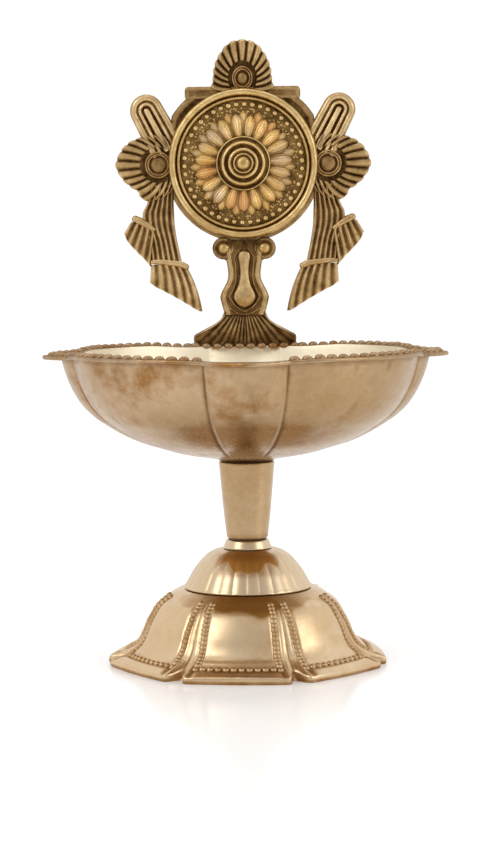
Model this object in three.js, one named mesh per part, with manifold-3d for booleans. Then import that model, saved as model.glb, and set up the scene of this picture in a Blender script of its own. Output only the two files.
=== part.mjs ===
// Brass pedestal diya: a four-spouted oil bowl on a tapered stem and a seven-lobed foot,
// with a wheel emblem standing behind the bowl.
// Millimetres, +Z up. The origin is on the stem's axis, on the surface the lamp stands on.
// The emblem faces -Y, so -Y is the front and +X is to the right.
import * as THREE from 'three';
import { mergeVertices } from 'three/addons/utils/BufferGeometryUtils.js';
import Module from 'manifold-3d';

const wasm = await Module();
wasm.setup();

// ---- driving dimensions ------------------------------------------------------------------
// Heights in this file are drawn from a datum FOOT_DROP above the standing surface; add() lifts each piece by it.
const FOOT_DROP = 1.2;
const GAP = 0.3;                 // clearance between pieces that touch
const SKIRT_R = 41.2;            // widest radius of the foot
const SKIRT_TOP = 19.8;          // height of the foot's top plate
const BASE_TURN_DEG = -5.2;      // the foot's front lobe faces a little to the left
const LOBES = 7;                 // lobes round the foot
const DOME_R = 18.0;             // lower edge of the dome
const DOME_TOP = 31.1;
const COLLAR_TOP = 33.7;
const STEM_BOTTOM = 34.8;
const STEM_TOP = 55.9;
const BOWL_BOTTOM = 57.0;
const RIM_TOP = 86.8;            // the bowl's flange lies between RIM_TOP - FLANGE_T and RIM_TOP
const FLANGE_T = 1.2;
const SPOUT_TIP = 58.1;          // side spouts, from the axis to the tip
const FRONT_TIP = 57.2;          // front spout, from the axis to the tip
const NOTCH_R = 51.5;            // flange radius in the notch beside each spout
const NOTCH_DEG = 13.3;          // half the angle that a spout takes
const LOBE_R = 52.2;             // flange radius in the middle of a lobe
const LANDING_Y = 57.2;          // back edge of the landing that carries the emblem
const LANDING_HALF = 16.8;       // half its width
const PITCH = 2.0;               // both screw joints, right-hand
const TURNS = 4;                 // turns of engagement
const CORE_R = 3.0;              // screw core
const BORE_R = 3.3;              // tapped bore
const THREAD_R = 3.15;           // radius that the thread's round section is centred on
const MALE_R = 0.55;             // section radius of the screw's thread
const FEMALE_R = 0.85;           // section radius of the groove in the bore
const WHEEL_Z = 142.5;           // height of the emblem's centre
const WHEEL_R = 22.8;
const DISC_R = 23.9;             // backing disc of the emblem plate
const PLATE_Y = 50.5;            // front face of the emblem plate
const PLATE_T = 3.0;
const FOOT_Y = 56.5;             // back of the emblem's foot
const RIVET_X = 6.1, RIVET_Z = 116.8;
const FOOT_SCREW_X = 9.0, FOOT_SCREW_Y = 53.6;

// ---- materials ---------------------------------------------------------------------------
const brass = (color, roughness) => new THREE.MeshStandardMaterial({ color, roughness, metalness: 1 });
const POLISHED = () => brass(0xc9a57c, 0.28);
const CAST = () => brass(0x9a7d4e, 0.42);
const TURNED = () => brass(0xb99a62, 0.32);
const DARK = () => brass(0x4a3a26, 0.6);

// ---- helpers -----------------------------------------------------------------------------
const V2 = (list) => list.map(([x, y]) => new THREE.Vector2(x, y));

// A closed three.js geometry as a solid with its faces pointing out.
function solid(geometry) {
  const g = geometry.clone();
  g.deleteAttribute('normal');
  g.deleteAttribute('uv');
  const m = mergeVertices(g, 1e-4);
  const p = m.attributes.position.array;
  const src = m.index.array;
  const tri = [];
  let volume = 0;
  for (let i = 0; i < src.length; i += 3) {
    const [a, b, c] = [src[i], src[i + 1], src[i + 2]];
    if (a === b || b === c || a === c) continue;
    tri.push(a, b, c);
    const [ax, ay, az, bx, by, bz, cx, cy, cz] = [a, b, c].flatMap((k) => [p[3 * k], p[3 * k + 1], p[3 * k + 2]]);
    volume += ax * (by * cz - bz * cy) - ay * (bx * cz - bz * cx) + az * (bx * cy - by * cx);
  }
  if (volume < 0) for (let i = 0; i < tri.length; i += 3) [tri[i + 1], tri[i + 2]] = [tri[i + 2], tri[i + 1]];
  return new wasm.Manifold(new wasm.Mesh({
    numProp: 3,
    vertProperties: Float32Array.from(p),
    triVerts: Uint32Array.from(tri),
  }));
}

function geometryOf(manifold) {
  const m = manifold.getMesh();
  const g = new THREE.BufferGeometry();
  const n = m.vertProperties.length / m.numProp;
  const p = new Float32Array(n * 3);
  for (let i = 0; i < n; i++) for (let k = 0; k < 3; k++) p[3 * i + k] = m.vertProperties[i * m.numProp + k];
  g.setAttribute('position', new THREE.BufferAttribute(p, 3));
  g.setIndex(new THREE.BufferAttribute(Uint32Array.from(m.triVerts), 1));
  g.computeVertexNormals();
  return g;
}

// A turned form about Z. `warp(angle, r, z)` returns the new radius at each vertex.
// Angle 0 is +X, and it grows towards +Y. `segments` is a count, or the list of angles
// that the form has an edge at, over one turn.
function turned(profile, segments, warp) {
  const angles = Array.isArray(segments) ? segments : null;
  const count = angles ? angles.length : segments;
  const g = new THREE.LatheGeometry(V2(profile), count);
  g.rotateX(Math.PI / 2);
  const p = g.attributes.position;
  for (let i = 0; i < p.count; i++) {
    const r = Math.hypot(p.getX(i), p.getY(i));
    if (r < 1e-6 || !(warp || angles)) continue;
    const step = Math.floor(i / profile.length) % count;
    const a = angles ? angles[step] : Math.atan2(p.getY(i), p.getX(i));
    const out = warp ? warp(a, r, p.getZ(i)) : r;
    p.setXY(i, Math.cos(a) * out, Math.sin(a) * out);
  }
  return g;
}

// A turned form about a line along Y through (x, z); profile heights run from y0 towards -Y.
function turnedY(profile, segments, x, y0, z) {
  const g = new THREE.LatheGeometry(V2(profile), segments);
  g.rotateX(Math.PI);
  g.translate(x, y0, z);
  return g;
}

// A flat outline in the XZ plane, extruded from y0 back to y1.
function slab(outline, y0, y1, holes = []) {
  const shape = new THREE.Shape(V2(outline));
  for (const h of holes) {
    const path = new THREE.Path();
    path.absarc(h[0], h[1], h[2], 0, 2 * Math.PI, true);
    shape.holes.push(path);
  }
  const g = new THREE.ExtrudeGeometry(shape, { depth: y1 - y0, bevelEnabled: false, curveSegments: 12 });
  g.rotateX(Math.PI / 2);       // the outline's Y becomes Z, and the depth runs to -Y
  g.translate(0, y1, 0);
  return g;
}

const mirrored = (outline) => outline.map(([x, z]) => [-x, z]).reverse();

function circle(cx, cz, r, n) {
  return Array.from({ length: n }, (_, i) => [cx + r * Math.cos((2 * Math.PI * i) / n), cz + r * Math.sin((2 * Math.PI * i) / n)]);
}

// The round section of a thread, swept up a helix from z0 to z1.
class Helix extends THREE.Curve {
  constructor(z0, z1) { super(); this.z0 = z0; this.z1 = z1; }
  getPoint(t) {
    const z = this.z0 + (this.z1 - this.z0) * t;
    const a = (2 * Math.PI * z) / PITCH;
    return new THREE.Vector3(THREAD_R * Math.cos(a), THREAD_R * Math.sin(a), z);
  }
}
function thread(z0, z1, radius, sides, phase = 0) {
  const section = new THREE.Shape(V2(circle(0, 0, radius, sides)));
  const steps = Math.round(((z1 - z0) / PITCH) * 12);
  const g = new THREE.ExtrudeGeometry(section, { steps, extrudePath: new Helix(z0, z1), bevelEnabled: false });
  g.rotateZ(phase);
  return solid(g);
}

const group = new THREE.Group();
function add(name, geometry, material) {
  const g = geometry instanceof THREE.BufferGeometry ? geometryOf(solid(geometry)) : geometryOf(geometry);
  g.translate(0, 0, FOOT_DROP);
  const mesh = new THREE.Mesh(g, material);
  mesh.name = name;
  group.add(mesh);
  return mesh;
}

const smooth = (x) => { const t = Math.min(1, Math.max(0, x)); return t * t * (3 - 2 * t); };

// ---- foot --------------------------------------------------------------------------------
// One lobe from its middle (a = 0) to the crease (a = 1): nearly flat, a rounded corner, a sharp crease.
const LOBE_SHAPE = [[0, 0.958], [0.38, 0.967], [0.62, 0.985], [0.78, 1.0], [0.88, 0.985], [1, 0.865]];
function lobeFactor(angle) {
  const step = (2 * Math.PI) / LOBES;
  let u = (angle + Math.PI / 2) / step;       // a lobe is centred on -Y
  u = Math.abs(u - Math.round(u)) * 2;
  let i = 0;
  while (i < LOBE_SHAPE.length - 2 && u > LOBE_SHAPE[i + 1][0]) i++;
  const [[a0, f0], [a1, f1]] = [LOBE_SHAPE[i], LOBE_SHAPE[i + 1]];
  return f0 + ((f1 - f0) * (u - a0)) / (a1 - a0);
}
const skirtWarp = (angle, r) => {
  const w = Math.min(1, Math.max(0, (r - 14) / (SKIRT_R - 14))) ** 1.8;
  return r * (1 - (1 - lobeFactor(angle)) * w);
};
const HALF_LOBE = 180 / LOBES;
const skirtAngles = Array.from({ length: LOBES }, (_, k) => [-0.88, -0.78, -0.4, 0, 0.4, 0.78, 0.88, 1].map((u) => (Math.PI / 180) * (HALF_LOBE * (2 * k + u) - 90))).flat();
const skirt = turned([
  [5.2, SKIRT_TOP], [19.4, SKIRT_TOP], [22.8, 17.9], [25.6, 15.7], [27.6, 12.7], [29.1, 9.9],
  [30.5, 6.7], [32.2, 4.4], [34.7, 2.8], [37.9, 1.6], [40.6, 0.8], [SKIRT_R, 0], [SKIRT_R, -FOOT_DROP],
  [38.9, -FOOT_DROP], [33.8, 1.1], [30.7, 2.9], [28.8, 6.1], [27.3, 9.3], [23.9, 14.2], [18.8, 17.6], [5.2, 17.6], [5.2, SKIRT_TOP],
], skirtAngles, skirtWarp);
add('base_skirt', skirt, POLISHED()).rotation.z = THREE.MathUtils.degToRad(BASE_TURN_DEG);

// ---- dome: a shallow gadroon every 18 degrees --------------------------------------------
const domeWarp = (angle, r) => r * (1 + 0.012 * Math.cos(20 * angle) * smooth((r - 8) / 6));
add('base_dome', turned([
  [5.2, DOME_TOP], [5.2, 29.2], [9.3, 28.7], [11.2, 27.3], [13.5, 24.6], [15.0, 21.6], [15.6, SKIRT_TOP + GAP],
  [DOME_R, SKIRT_TOP + GAP], [17.8, 20.7], [16.9, 22.4], [15.3, 25.4], [12.5, 28.9], [10.3, 30.4], [6.9, DOME_TOP], [5.2, DOME_TOP],
], 40, domeWarp), POLISHED());

// ---- collar: the ring above the dome, with a tapped spigot down to the lock nut -----------
const collarBody = solid(turned([
  [BORE_R, COLLAR_TOP], [BORE_R, 12.6], [4.9, 12.6], [4.9, DOME_TOP + GAP], [6.3, DOME_TOP + GAP],
  [6.8, 32.0], [6.8, 33.0], [6.0, COLLAR_TOP], [BORE_R, COLLAR_TOP],
], 24));
const studTop = COLLAR_TOP - 0.2;
const studBottomThread = studTop - TURNS * PITCH;
add('base_collar', collarBody.subtract(thread(studBottomThread - 0.5, COLLAR_TOP + 1.2, FEMALE_R, 6)), TURNED());

add('base_clamp_washer', turned([[5.2, 17.3], [9.5, 17.3], [9.5, 16.1], [5.2, 16.1], [5.2, 17.3]], 20), TURNED());

const hexagon = Array.from({ length: 6 }, (_, i) => {
  const a = (Math.PI / 3) * i;
  return [7.6 * Math.cos(a), 7.6 * Math.sin(a)];
});
const nutShape = new THREE.Shape(V2(hexagon));
const nutHole = new THREE.Path();
nutHole.absarc(0, 0, 5.2, 0, 2 * Math.PI, true);
nutShape.holes.push(nutHole);
const nut = new THREE.ExtrudeGeometry(nutShape, { depth: 2.8, bevelEnabled: false, curveSegments: 12 });
nut.translate(0, 0, 13.0);
add('base_lock_nut', nut, TURNED());

// ---- stem --------------------------------------------------------------------------------
add('stem_washer', turned([[4.05, 34.5], [5.5, 34.5], [5.5, 34.0], [4.05, 34.0], [4.05, 34.5]], 20), DARK());

const stemBody = solid(turned([
  [0, 42.0], [BORE_R, 42.0], [BORE_R, STEM_BOTTOM], [5.6, STEM_BOTTOM], [6.05, 35.2], [6.2, 36.0],
  [7.1, 46.0], [7.8, 54.5], [7.95, STEM_TOP - 0.3], [7.7, STEM_TOP], [BORE_R, STEM_TOP], [BORE_R, 45.6], [0, 45.6],
], 24));
const bowlThreadTop = STEM_TOP - 0.2;
const bowlThreadBottom = bowlThreadTop - TURNS * PITCH;
add('stem', stemBody.subtract(thread(bowlThreadBottom - 0.5, STEM_TOP + 1.2, FEMALE_R, 6)), POLISHED());

const stud = (z0, z1, threadFrom, threadTo) =>
  solid(turned([[0, z0], [CORE_R, z0], [CORE_R, z1], [0, z1]], 16)).add(thread(threadFrom, threadTo, MALE_R, 6));
add('stem_stud', stud(24.8, 41.7, studBottomThread, studTop - 0.2), TURNED());

add('bowl_seat_washer', turned([[4.05, 56.7], [6.7, 56.7], [6.7, 56.2], [4.05, 56.2], [4.05, 56.7]], 20), DARK());

// ---- bowl --------------------------------------------------------------------------------
// Plan radius of the flange's edge. A spout has a straight edge from its tip to its notch, bowed
// out a little, and a lobe is an even curve between two notches. Behind, the flange widens into
// the square landing that the emblem stands on.
const rad = THREE.MathUtils.degToRad;
const QUARTER = Math.PI / 2;
function fromSpout(angle) {       // which spout is nearest (0 right, 1 back, 2 left, -1 front), and degrees from it
  const k = Math.round(angle / QUARTER);
  return [k === -2 ? 2 : k, THREE.MathUtils.radToDeg(Math.abs(angle - k * QUARTER))];
}
const lobeEdge = (deg) => LOBE_R - (LOBE_R - NOTCH_R) * ((deg - 45) / (45 - NOTCH_DEG)) ** 2;
const LANDING_DEG = [15.6, 16.8, 18.95];     // the landing's back corner, side corner and root
function flangeEdge(angle) {
  const [k, deg] = fromSpout(angle);
  if (k === 1) {
    const [back, side, root] = LANDING_DEG;
    const cornerBack = LANDING_Y / Math.cos(rad(back)), cornerSide = LANDING_HALF / Math.sin(rad(side));
    if (deg <= back) return LANDING_Y / Math.cos(rad(deg));
    if (deg <= side) return cornerBack + ((cornerSide - cornerBack) * (deg - back)) / (side - back);
    if (deg <= root) return LANDING_HALF / Math.sin(rad(deg));
    return lobeEdge(deg);
  }
  if (deg > NOTCH_DEG) return lobeEdge(deg);
  const tip = k === -1 ? FRONT_TIP : SPOUT_TIP;
  const [nx, ny] = [NOTCH_R * Math.cos(rad(NOTCH_DEG)), NOTCH_R * Math.sin(rad(NOTCH_DEG))];
  const straight = (tip * ny) / (ny * Math.cos(rad(deg)) + (tip - nx) * Math.sin(rad(deg)));
  return straight + 0.6 * Math.sin((Math.PI * deg) / NOTCH_DEG);
}
// The wall under the flange, as a share of its radius at a side spout.
function wallShare(angle) {
  const deg = fromSpout(angle)[1];
  if (deg <= NOTCH_DEG) return 1 - 0.052 * Math.pow(deg / NOTCH_DEG, 1.8);
  return 0.972 - 0.024 * ((deg - 45) / (45 - NOTCH_DEG)) ** 2;
}
const WALL_R = 52.4;            // wall radius at a side spout, just under the flange
const bowlWarp = (angle, r) => {
  if (r > WALL_R + 1) return flangeEdge(angle);
  const w = Math.min(1, Math.max(0, (r - 6) / 20));
  return r * (1 - (1 - wallShare(angle)) * w);
};
const spoutSteps = [-33, -21, -13.3, -9, -4.5, 0, 4.5, 9, 13.3, 21, 33, 45];
const landingSteps = [-33, -25, -18.95, -16.8, -15.6, -13.3, -7, 0, 7, 13.3, 15.6, 16.8, 18.95, 25, 33, 45];
const bowlAngles = [0, 1, 2, -1].flatMap((k) => (k === 1 ? landingSteps : spoutSteps).map((d) => k * QUARTER + rad(d)));
const bowlShell = solid(turned([
  [0, 59.8], [BORE_R, 59.8], [BORE_R, BOWL_BOTTOM], [7.9, BOWL_BOTTOM], [17, 58.4], [25, 60.3], [32.8, 63.0],
  [39.9, 67.0], [43.3, 69.3], [46.7, 72.7], [49.0, 76.2], [51.3, 81.2], [WALL_R, RIM_TOP - FLANGE_T],
  [SPOUT_TIP, RIM_TOP - FLANGE_T], [SPOUT_TIP, RIM_TOP], [50.8, RIM_TOP], [49.7, 81.4], [47.5, 76.9], [45.3, 73.7],
  [42.2, 70.6], [39.0, 68.5], [32.0, 64.6], [24.6, 62.0], [16.5, 60.7], [9.0, 60.4], [0, 60.4],
], bowlAngles, bowlWarp));
const screwHole = (x, z) => {
  const g = new THREE.CylinderGeometry(1.5, 1.5, 8, 12);
  g.rotateX(Math.PI / 2);
  g.translate(x, FOOT_SCREW_Y, z);
  return solid(g);
};
add('bowl', bowlShell.subtract(screwHole(FOOT_SCREW_X, 86)).subtract(screwHole(-FOOT_SCREW_X, 86)), POLISHED());

add('bowl_stud', stud(46.6, 59.5, bowlThreadBottom, bowlThreadTop - 0.2), TURNED());

// ---- emblem ------------------------------------------------------------------------------
const RIBBON = [
  [-28.89, 132.64], [-29.84, 129.48], [-31.4, 126.97], [-33.63, 127.25], [-34.3, 126.36], [-33.94, 125.14],
  [-36.17, 122.17], [-35.77, 120.64], [-33.32, 117.61], [-30.54, 114.49], [-28.7, 111.37], [-28.73, 106.63],
  [-24.7, 104.0], [-19.4, 101.0], [-16.1, 99.0], [-13.6, 97.6], [-12.9, 98.4], [-13.92, 102.31],
  [-15.48, 105.74], [-17.2, 109.23], [-16.98, 111.06], [-18.33, 112.81], [-19.89, 114.18], [-20.78, 118.87],
  [-21.73, 123.24], [-21.94, 127.62], [-21.54, 131.41], [-21.0, 136.5], [-26.5, 138.0],
];
const LOOP = [
  [-29.31, 163.6], [-31.36, 163.05], [-33.11, 161.52], [-34.21, 159.41], [-34.46, 157.24], [-33.75, 155.22],
  [-32.56, 152.99], [-30.72, 149.77], [-26.5, 147.5], [-18.5, 151.5], [-21.51, 157.88], [-23.68, 160.21],
  [-24.97, 161.77], [-26.32, 162.87], [-27.72, 163.48],
];
const SHELL = [
  [-25.21, 151.61], [-28.58, 151.15], [-30.72, 150.63], [-31.76, 150.11], [-33.48, 149.96], [-34.64, 149.4],
  [-35.74, 148.49], [-36.57, 147.78], [-37.48, 146.65], [-37.79, 145.46], [-38.43, 144.11], [-38.59, 142.46],
  [-38.4, 141.02], [-37.91, 139.86], [-37.45, 138.63], [-36.81, 137.65], [-35.31, 136.16], [-33.69, 134.93],
  [-31.79, 133.86], [-29.87, 133.0], [-27.66, 132.64], [-24.6, 133.25], [-20.5, 136.5], [-20.0, 149.3],
];
const CREST = [
  [-9.6, 165.4], [-8.95, 168.0], [-8.8, 170.6], [-8.3, 172.7], [-7.6, 174.5], [-6.67, 176.0], [-5.54, 177.6],
  [-4.4, 178.7], [-3.1, 179.4], [-1.9, 179.8], [-0.6, 180.3], [0.6, 180.3], [1.9, 179.8], [3.1, 179.4], [4.4, 178.7],
  [5.54, 177.6], [6.67, 176.0], [7.6, 174.5], [8.3, 172.7], [8.8, 170.6], [8.95, 168.0], [9.6, 165.4], [6.0, 163.0], [-6.0, 163.0],
];
// shoulder behind the wheel between the loops and the cross bar
const SHOULDER = [[0, WHEEL_Z], ...[146, 139, 132, 125].map((d) => [26.2 * Math.cos(rad(d)), WHEEL_Z + 26.2 * Math.sin(rad(d))])];
const BAR = [[-17.4, 163.0], [-17.7, 164.0], [-17.3, 165.4], [-16.4, 165.9], [16.4, 165.9], [17.3, 165.4], [17.7, 164.0], [17.4, 163.0], [14.0, 160.5], [-14.0, 160.5]];
const y0 = PLATE_Y, y1 = PLATE_Y + PLATE_T;
const disc = solid(slab(circle(0, WHEEL_Z, DISC_R, 48), y0, y1));
let plate = disc;
for (const outline of [RIBBON, LOOP, SHELL, SHOULDER]) {
  const ccw = THREE.ShapeUtils.isClockWise(V2(outline)) ? [...outline].reverse() : outline;
  plate = plate.add(solid(slab(ccw, y0, y1))).add(solid(slab(mirrored(ccw), y0, y1)));
}
plate = plate.add(solid(slab(CREST.slice().reverse(), y0, y1))).add(solid(slab(BAR.slice().reverse(), y0, y1)));
// raised eyes of the shells
const eye = (x, z, r) => solid(turnedY([[0, -0.5], [r, -0.5], [r, 1.0], [r * 0.6, 1.5], [0, 1.6]], 16, x, PLATE_Y, z));
plate = plate.add(eye(-27.3, 142.3, 4.0)).add(eye(27.3, 142.3, 4.0)).add(eye(0, 168.6, 3.2));
// tail behind the bracket's ears, which the rivets go through
const TAIL = [[-5.4, 112.8], [5.4, 112.8], [8.0, 114.6], [9.2, 116.8], [8.7, 118.6], [7.9, 120.0], [7.7, 125.0], [-7.7, 125.0], [-7.9, 120.0], [-8.7, 118.6], [-9.2, 116.8], [-8.0, 114.6]];
const tailY0 = y1 + GAP, tailY1 = 55.6;
plate = plate.add(solid(slab(TAIL, tailY0, tailY1))).add(solid(slab([[-7.5, 119.6], [7.5, 119.6], [7.5, 125.0], [-7.5, 125.0]], y1 - 0.6, tailY0 + 0.6)));
const pinHole = (x, z, r, from, to) => solid(turnedY([[0, 0], [r, 0], [r, to - from], [0, to - from]], 16, x, to, z));
plate = plate.subtract(pinHole(0, WHEEL_Z, 2.4, 45, 60));
for (const s of [-1, 1]) plate = plate.subtract(pinHole(s * RIVET_X, RIVET_Z, 1.4, 45, 60));
add('emblem_plate', plate, CAST());

const BRACKET_LEFT = [
  [-5.97, 113.2], [-5.8, 110.6], [-5.9, 108.16], [-6.36, 105.71], [-7.31, 103.57], [-7.95, 101.8], [-7.4, 99.9],
  [-6.8, 97.7], [-6.85, 96.3], [-7.6, 94.7], [-9.2, 93.1], [-11.35, 91.8], [-13.6, 90.7], [-15.55, 89.8], [-15.6, RIM_TOP + GAP],
];
const bracketOutline = [...BRACKET_LEFT, ...mirrored(BRACKET_LEFT), [6.0, 119.6], [-6.0, 119.6]];
let bracket = solid(slab(bracketOutline, y0, y1));
for (const s of [-1, 1]) bracket = bracket.add(solid(slab(circle(s * 6.35, RIVET_Z, 3.15, 20), y0, y1)));
// the foot is deeper than the neck
const FOOT = [[-15.6, RIM_TOP + GAP], [15.6, RIM_TOP + GAP], [15.55, 89.8], [11.35, 91.8], [7.6, 94.7], [-7.6, 94.7], [-11.35, 91.8], [-15.55, 89.8]];
bracket = bracket.add(solid(slab(FOOT, y1 - 0.8, FOOT_Y)));
// raised shield on the neck
const SHIELD = [[0, 117.5], [-3.1, 113.6], [-2.7, 110.0], [-2.9, 105.1], [-4.5, 101.7], [-3.4, 99.6], [0, 97.5], [3.4, 99.6], [4.5, 101.7], [2.9, 105.1], [2.7, 110.0], [3.1, 113.6]];
bracket = bracket.add(solid(slab(SHIELD, y0 - 0.9, y0 + 0.5)));
bracket = bracket.subtract(solid(slab(circle(0, WHEEL_Z, DISC_R + GAP + 0.05, 48), 40, 60)));
for (const s of [-1, 1]) {
  bracket = bracket.subtract(pinHole(s * RIVET_X, RIVET_Z, 1.4, 45, 60));
  bracket = bracket.subtract(screwHole(s * FOOT_SCREW_X, 87.0));
}
add('emblem_bracket', bracket, CAST());

// wheel: double rim, sunk field, raised petal band, bore for the hub
const wheelBack = PLATE_Y - GAP;
add('emblem_wheel', turnedY([
  [2.4, 0], [WHEEL_R, 0], [WHEEL_R, 1.7], [22.1, 2.6], [21.2, 2.6], [20.5, 1.8], [20.0, 2.2], [19.4, 2.2], [18.9, 1.2],
  [15.2, 1.2], [14.4, 2.2], [9.9, 1.9], [9.2, 1.0], [2.4, 1.0], [2.4, 0],
], 36, 0, wheelBack, WHEEL_Z), CAST());

add('emblem_hub', turnedY([
  [0, 4.6], [1.6, 4.4], [2.3, 3.6], [2.9, 3.1], [4.2, 3.3], [5.4, 3.0], [6.4, 3.4], [7.5, 2.8], [8.3, 2.4], [8.35, 1.3],
  [2.1, 1.3], [2.1, -3.6], [3.4, -3.6], [3.4, -4.1], [2.4, -4.7], [0, -4.7],
], 20, 0, wheelBack, WHEEL_Z), CAST());

for (const [name, s] of [['rivet_left', -1], ['rivet_right', 1]]) {
  add(name, turnedY([
    [0, 1.7], [0.9, 1.5], [1.5, 0.9], [1.7, 0.3], [1.1, 0.3], [1.1, -(tailY1 - y0 + GAP)],
    [1.8, -(tailY1 - y0 + GAP)], [1.6, -(tailY1 - y0 + GAP + 0.7)], [0, -(tailY1 - y0 + GAP + 0.8)],
  ], 12, s * RIVET_X, y0, RIVET_Z), CAST());
}

for (const [name, s] of [['foot_screw_left', -1], ['foot_screw_right', 1]]) {
  const g = turned([
    [0, 83.5], [1.9, 83.6], [2.4, 84.2], [2.4, RIM_TOP - FLANGE_T - GAP], [1.2, RIM_TOP - FLANGE_T - GAP], [1.2, 90.4], [0, 90.7],
  ], 14);
  g.translate(s * FOOT_SCREW_X, FOOT_SCREW_Y, 0);
  add(name, g, TURNED());
}

export default group;
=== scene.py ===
import math

import bpy
import numpy as np
from mathutils import Euler, Matrix, Vector


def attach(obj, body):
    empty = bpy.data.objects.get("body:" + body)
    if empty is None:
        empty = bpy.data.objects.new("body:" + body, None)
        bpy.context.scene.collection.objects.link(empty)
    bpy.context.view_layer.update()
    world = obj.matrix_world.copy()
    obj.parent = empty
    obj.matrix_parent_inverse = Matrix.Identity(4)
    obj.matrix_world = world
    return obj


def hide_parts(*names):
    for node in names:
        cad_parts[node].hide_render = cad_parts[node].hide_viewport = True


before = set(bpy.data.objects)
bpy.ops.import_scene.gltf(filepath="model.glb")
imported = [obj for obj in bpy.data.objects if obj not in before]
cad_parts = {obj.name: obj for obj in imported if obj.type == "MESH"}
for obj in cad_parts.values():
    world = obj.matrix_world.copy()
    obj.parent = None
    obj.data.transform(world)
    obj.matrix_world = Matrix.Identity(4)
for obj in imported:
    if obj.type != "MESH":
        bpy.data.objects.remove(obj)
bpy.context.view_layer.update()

MM = 0.001
LIFT = 1.2      # heights below are drawn from a datum this far above the surface that the lamp stands on, mm
TAU = 2 * math.pi


# ------------------------------------------------------------------ small maths
def sstep(a, b, x):
    t = np.clip((np.asarray(x, float) - a) / (b - a), 0, 1)
    return t * t * (3 - 2 * t)


def bump(x, centre, width):
    return np.exp(-(((np.asarray(x, float) - centre) / width) ** 2))


def curve(points, per=6, sharp=()):
    """A smooth line through points, with corners at the listed ones."""
    pts = np.array(points, float)
    cuts = [0] + sorted(i for i in sharp if 0 < i < len(pts) - 1) + [len(pts) - 1]
    out = []
    for a, b in zip(cuts[:-1], cuts[1:]):
        seg = pts[a:b + 1]
        if len(seg) == 2:
            t = np.linspace(0, 1, per + 1)[:, None]
            q = seg[0] + (seg[1] - seg[0]) * t
        else:
            ext = np.vstack([2 * seg[0] - seg[1], seg, 2 * seg[-1] - seg[-2]])
            q = []
            for i in range(len(seg) - 1):
                p0, p1, p2, p3 = ext[i:i + 4]
                t = np.linspace(0, 1, per, endpoint=False)[:, None]
                q.append(0.5 * (2 * p1 + (p2 - p0) * t + (2 * p0 - 5 * p1 + 4 * p2 - p3) * t ** 2
                                + (3 * p1 - p0 - 3 * p2 + p3) * t ** 3))
            q.append(seg[-1:])
            q = np.vstack(q)
        out.append(q if not out else q[1:])
    return np.vstack(out)


def resample(line, count):
    line = np.asarray(line, float)
    d = np.r_[0, np.cumsum(np.linalg.norm(np.diff(line, axis=0), axis=1))]
    s = np.linspace(0, d[-1], count)
    return np.stack([np.interp(s, d, line[:, k]) for k in range(line.shape[1])], axis=1)


def spaced(line, pitch, start=0.0, end=0.0):
    """Points along a line, evenly spaced at about the pitch."""
    line = np.asarray(line, float)
    d = np.r_[0, np.cumsum(np.linalg.norm(np.diff(line, axis=0), axis=1))]
    length = d[-1] - start - end
    n = max(1, int(round(length / pitch)))
    s = start + np.linspace(0, length, n + 1)
    return np.stack([np.interp(s, d, line[:, k]) for k in range(line.shape[1])], axis=1)


def line_distance(x, z, line):
    line = np.asarray(line, float)
    best = np.full(np.shape(x), 1e9)
    for (ax, az), (bx, bz) in zip(line[:-1], line[1:]):
        dx, dz = bx - ax, bz - az
        t = np.clip(((x - ax) * dx + (z - az) * dz) / max(dx * dx + dz * dz, 1e-12), 0, 1)
        best = np.minimum(best, np.hypot(x - ax - t * dx, z - az - t * dz))
    return best


def inside(x, z, poly):
    poly = np.asarray(poly, float)
    hit = np.zeros(np.shape(x), bool)
    for (ax, az), (bx, bz) in zip(poly, np.roll(poly, -1, axis=0)):
        if az == bz:
            continue
        cross = ((az > z) != (bz > z)) & (x < (bx - ax) * (z - az) / (bz - az) + ax)
        hit ^= cross
    return hit


def depth_in(x, z, poly):
    """Distance from a closed outline, positive inside."""
    closed = np.vstack([poly, poly[:1]])
    d = line_distance(x, z, closed)
    return np.where(inside(x, z, poly), d, -d)


def ray_radius(poly, centre, angles):
    """How far a closed outline is from a centre inside it, at each angle."""
    poly = np.asarray(poly, float) - np.asarray(centre, float)
    out = np.zeros(len(angles))
    for k, a in enumerate(angles):
        c, s = math.cos(a), math.sin(a)
        best = 0.0
        for (ax, az), (bx, bz) in zip(poly, np.roll(poly, -1, axis=0)):
            dx, dz = bx - ax, bz - az
            den = c * dz - s * dx
            if abs(den) < 1e-12:
                continue
            t = (ax * dz - az * dx) / den
            u = (ax * s - az * c) / den
            if t > 0 and -1e-9 <= u <= 1 + 1e-9:
                best = max(best, t)
        out[k] = best
    return out


def mirror_x(points):
    return np.array([(-x, z) for x, z in points])[::-1]


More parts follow.
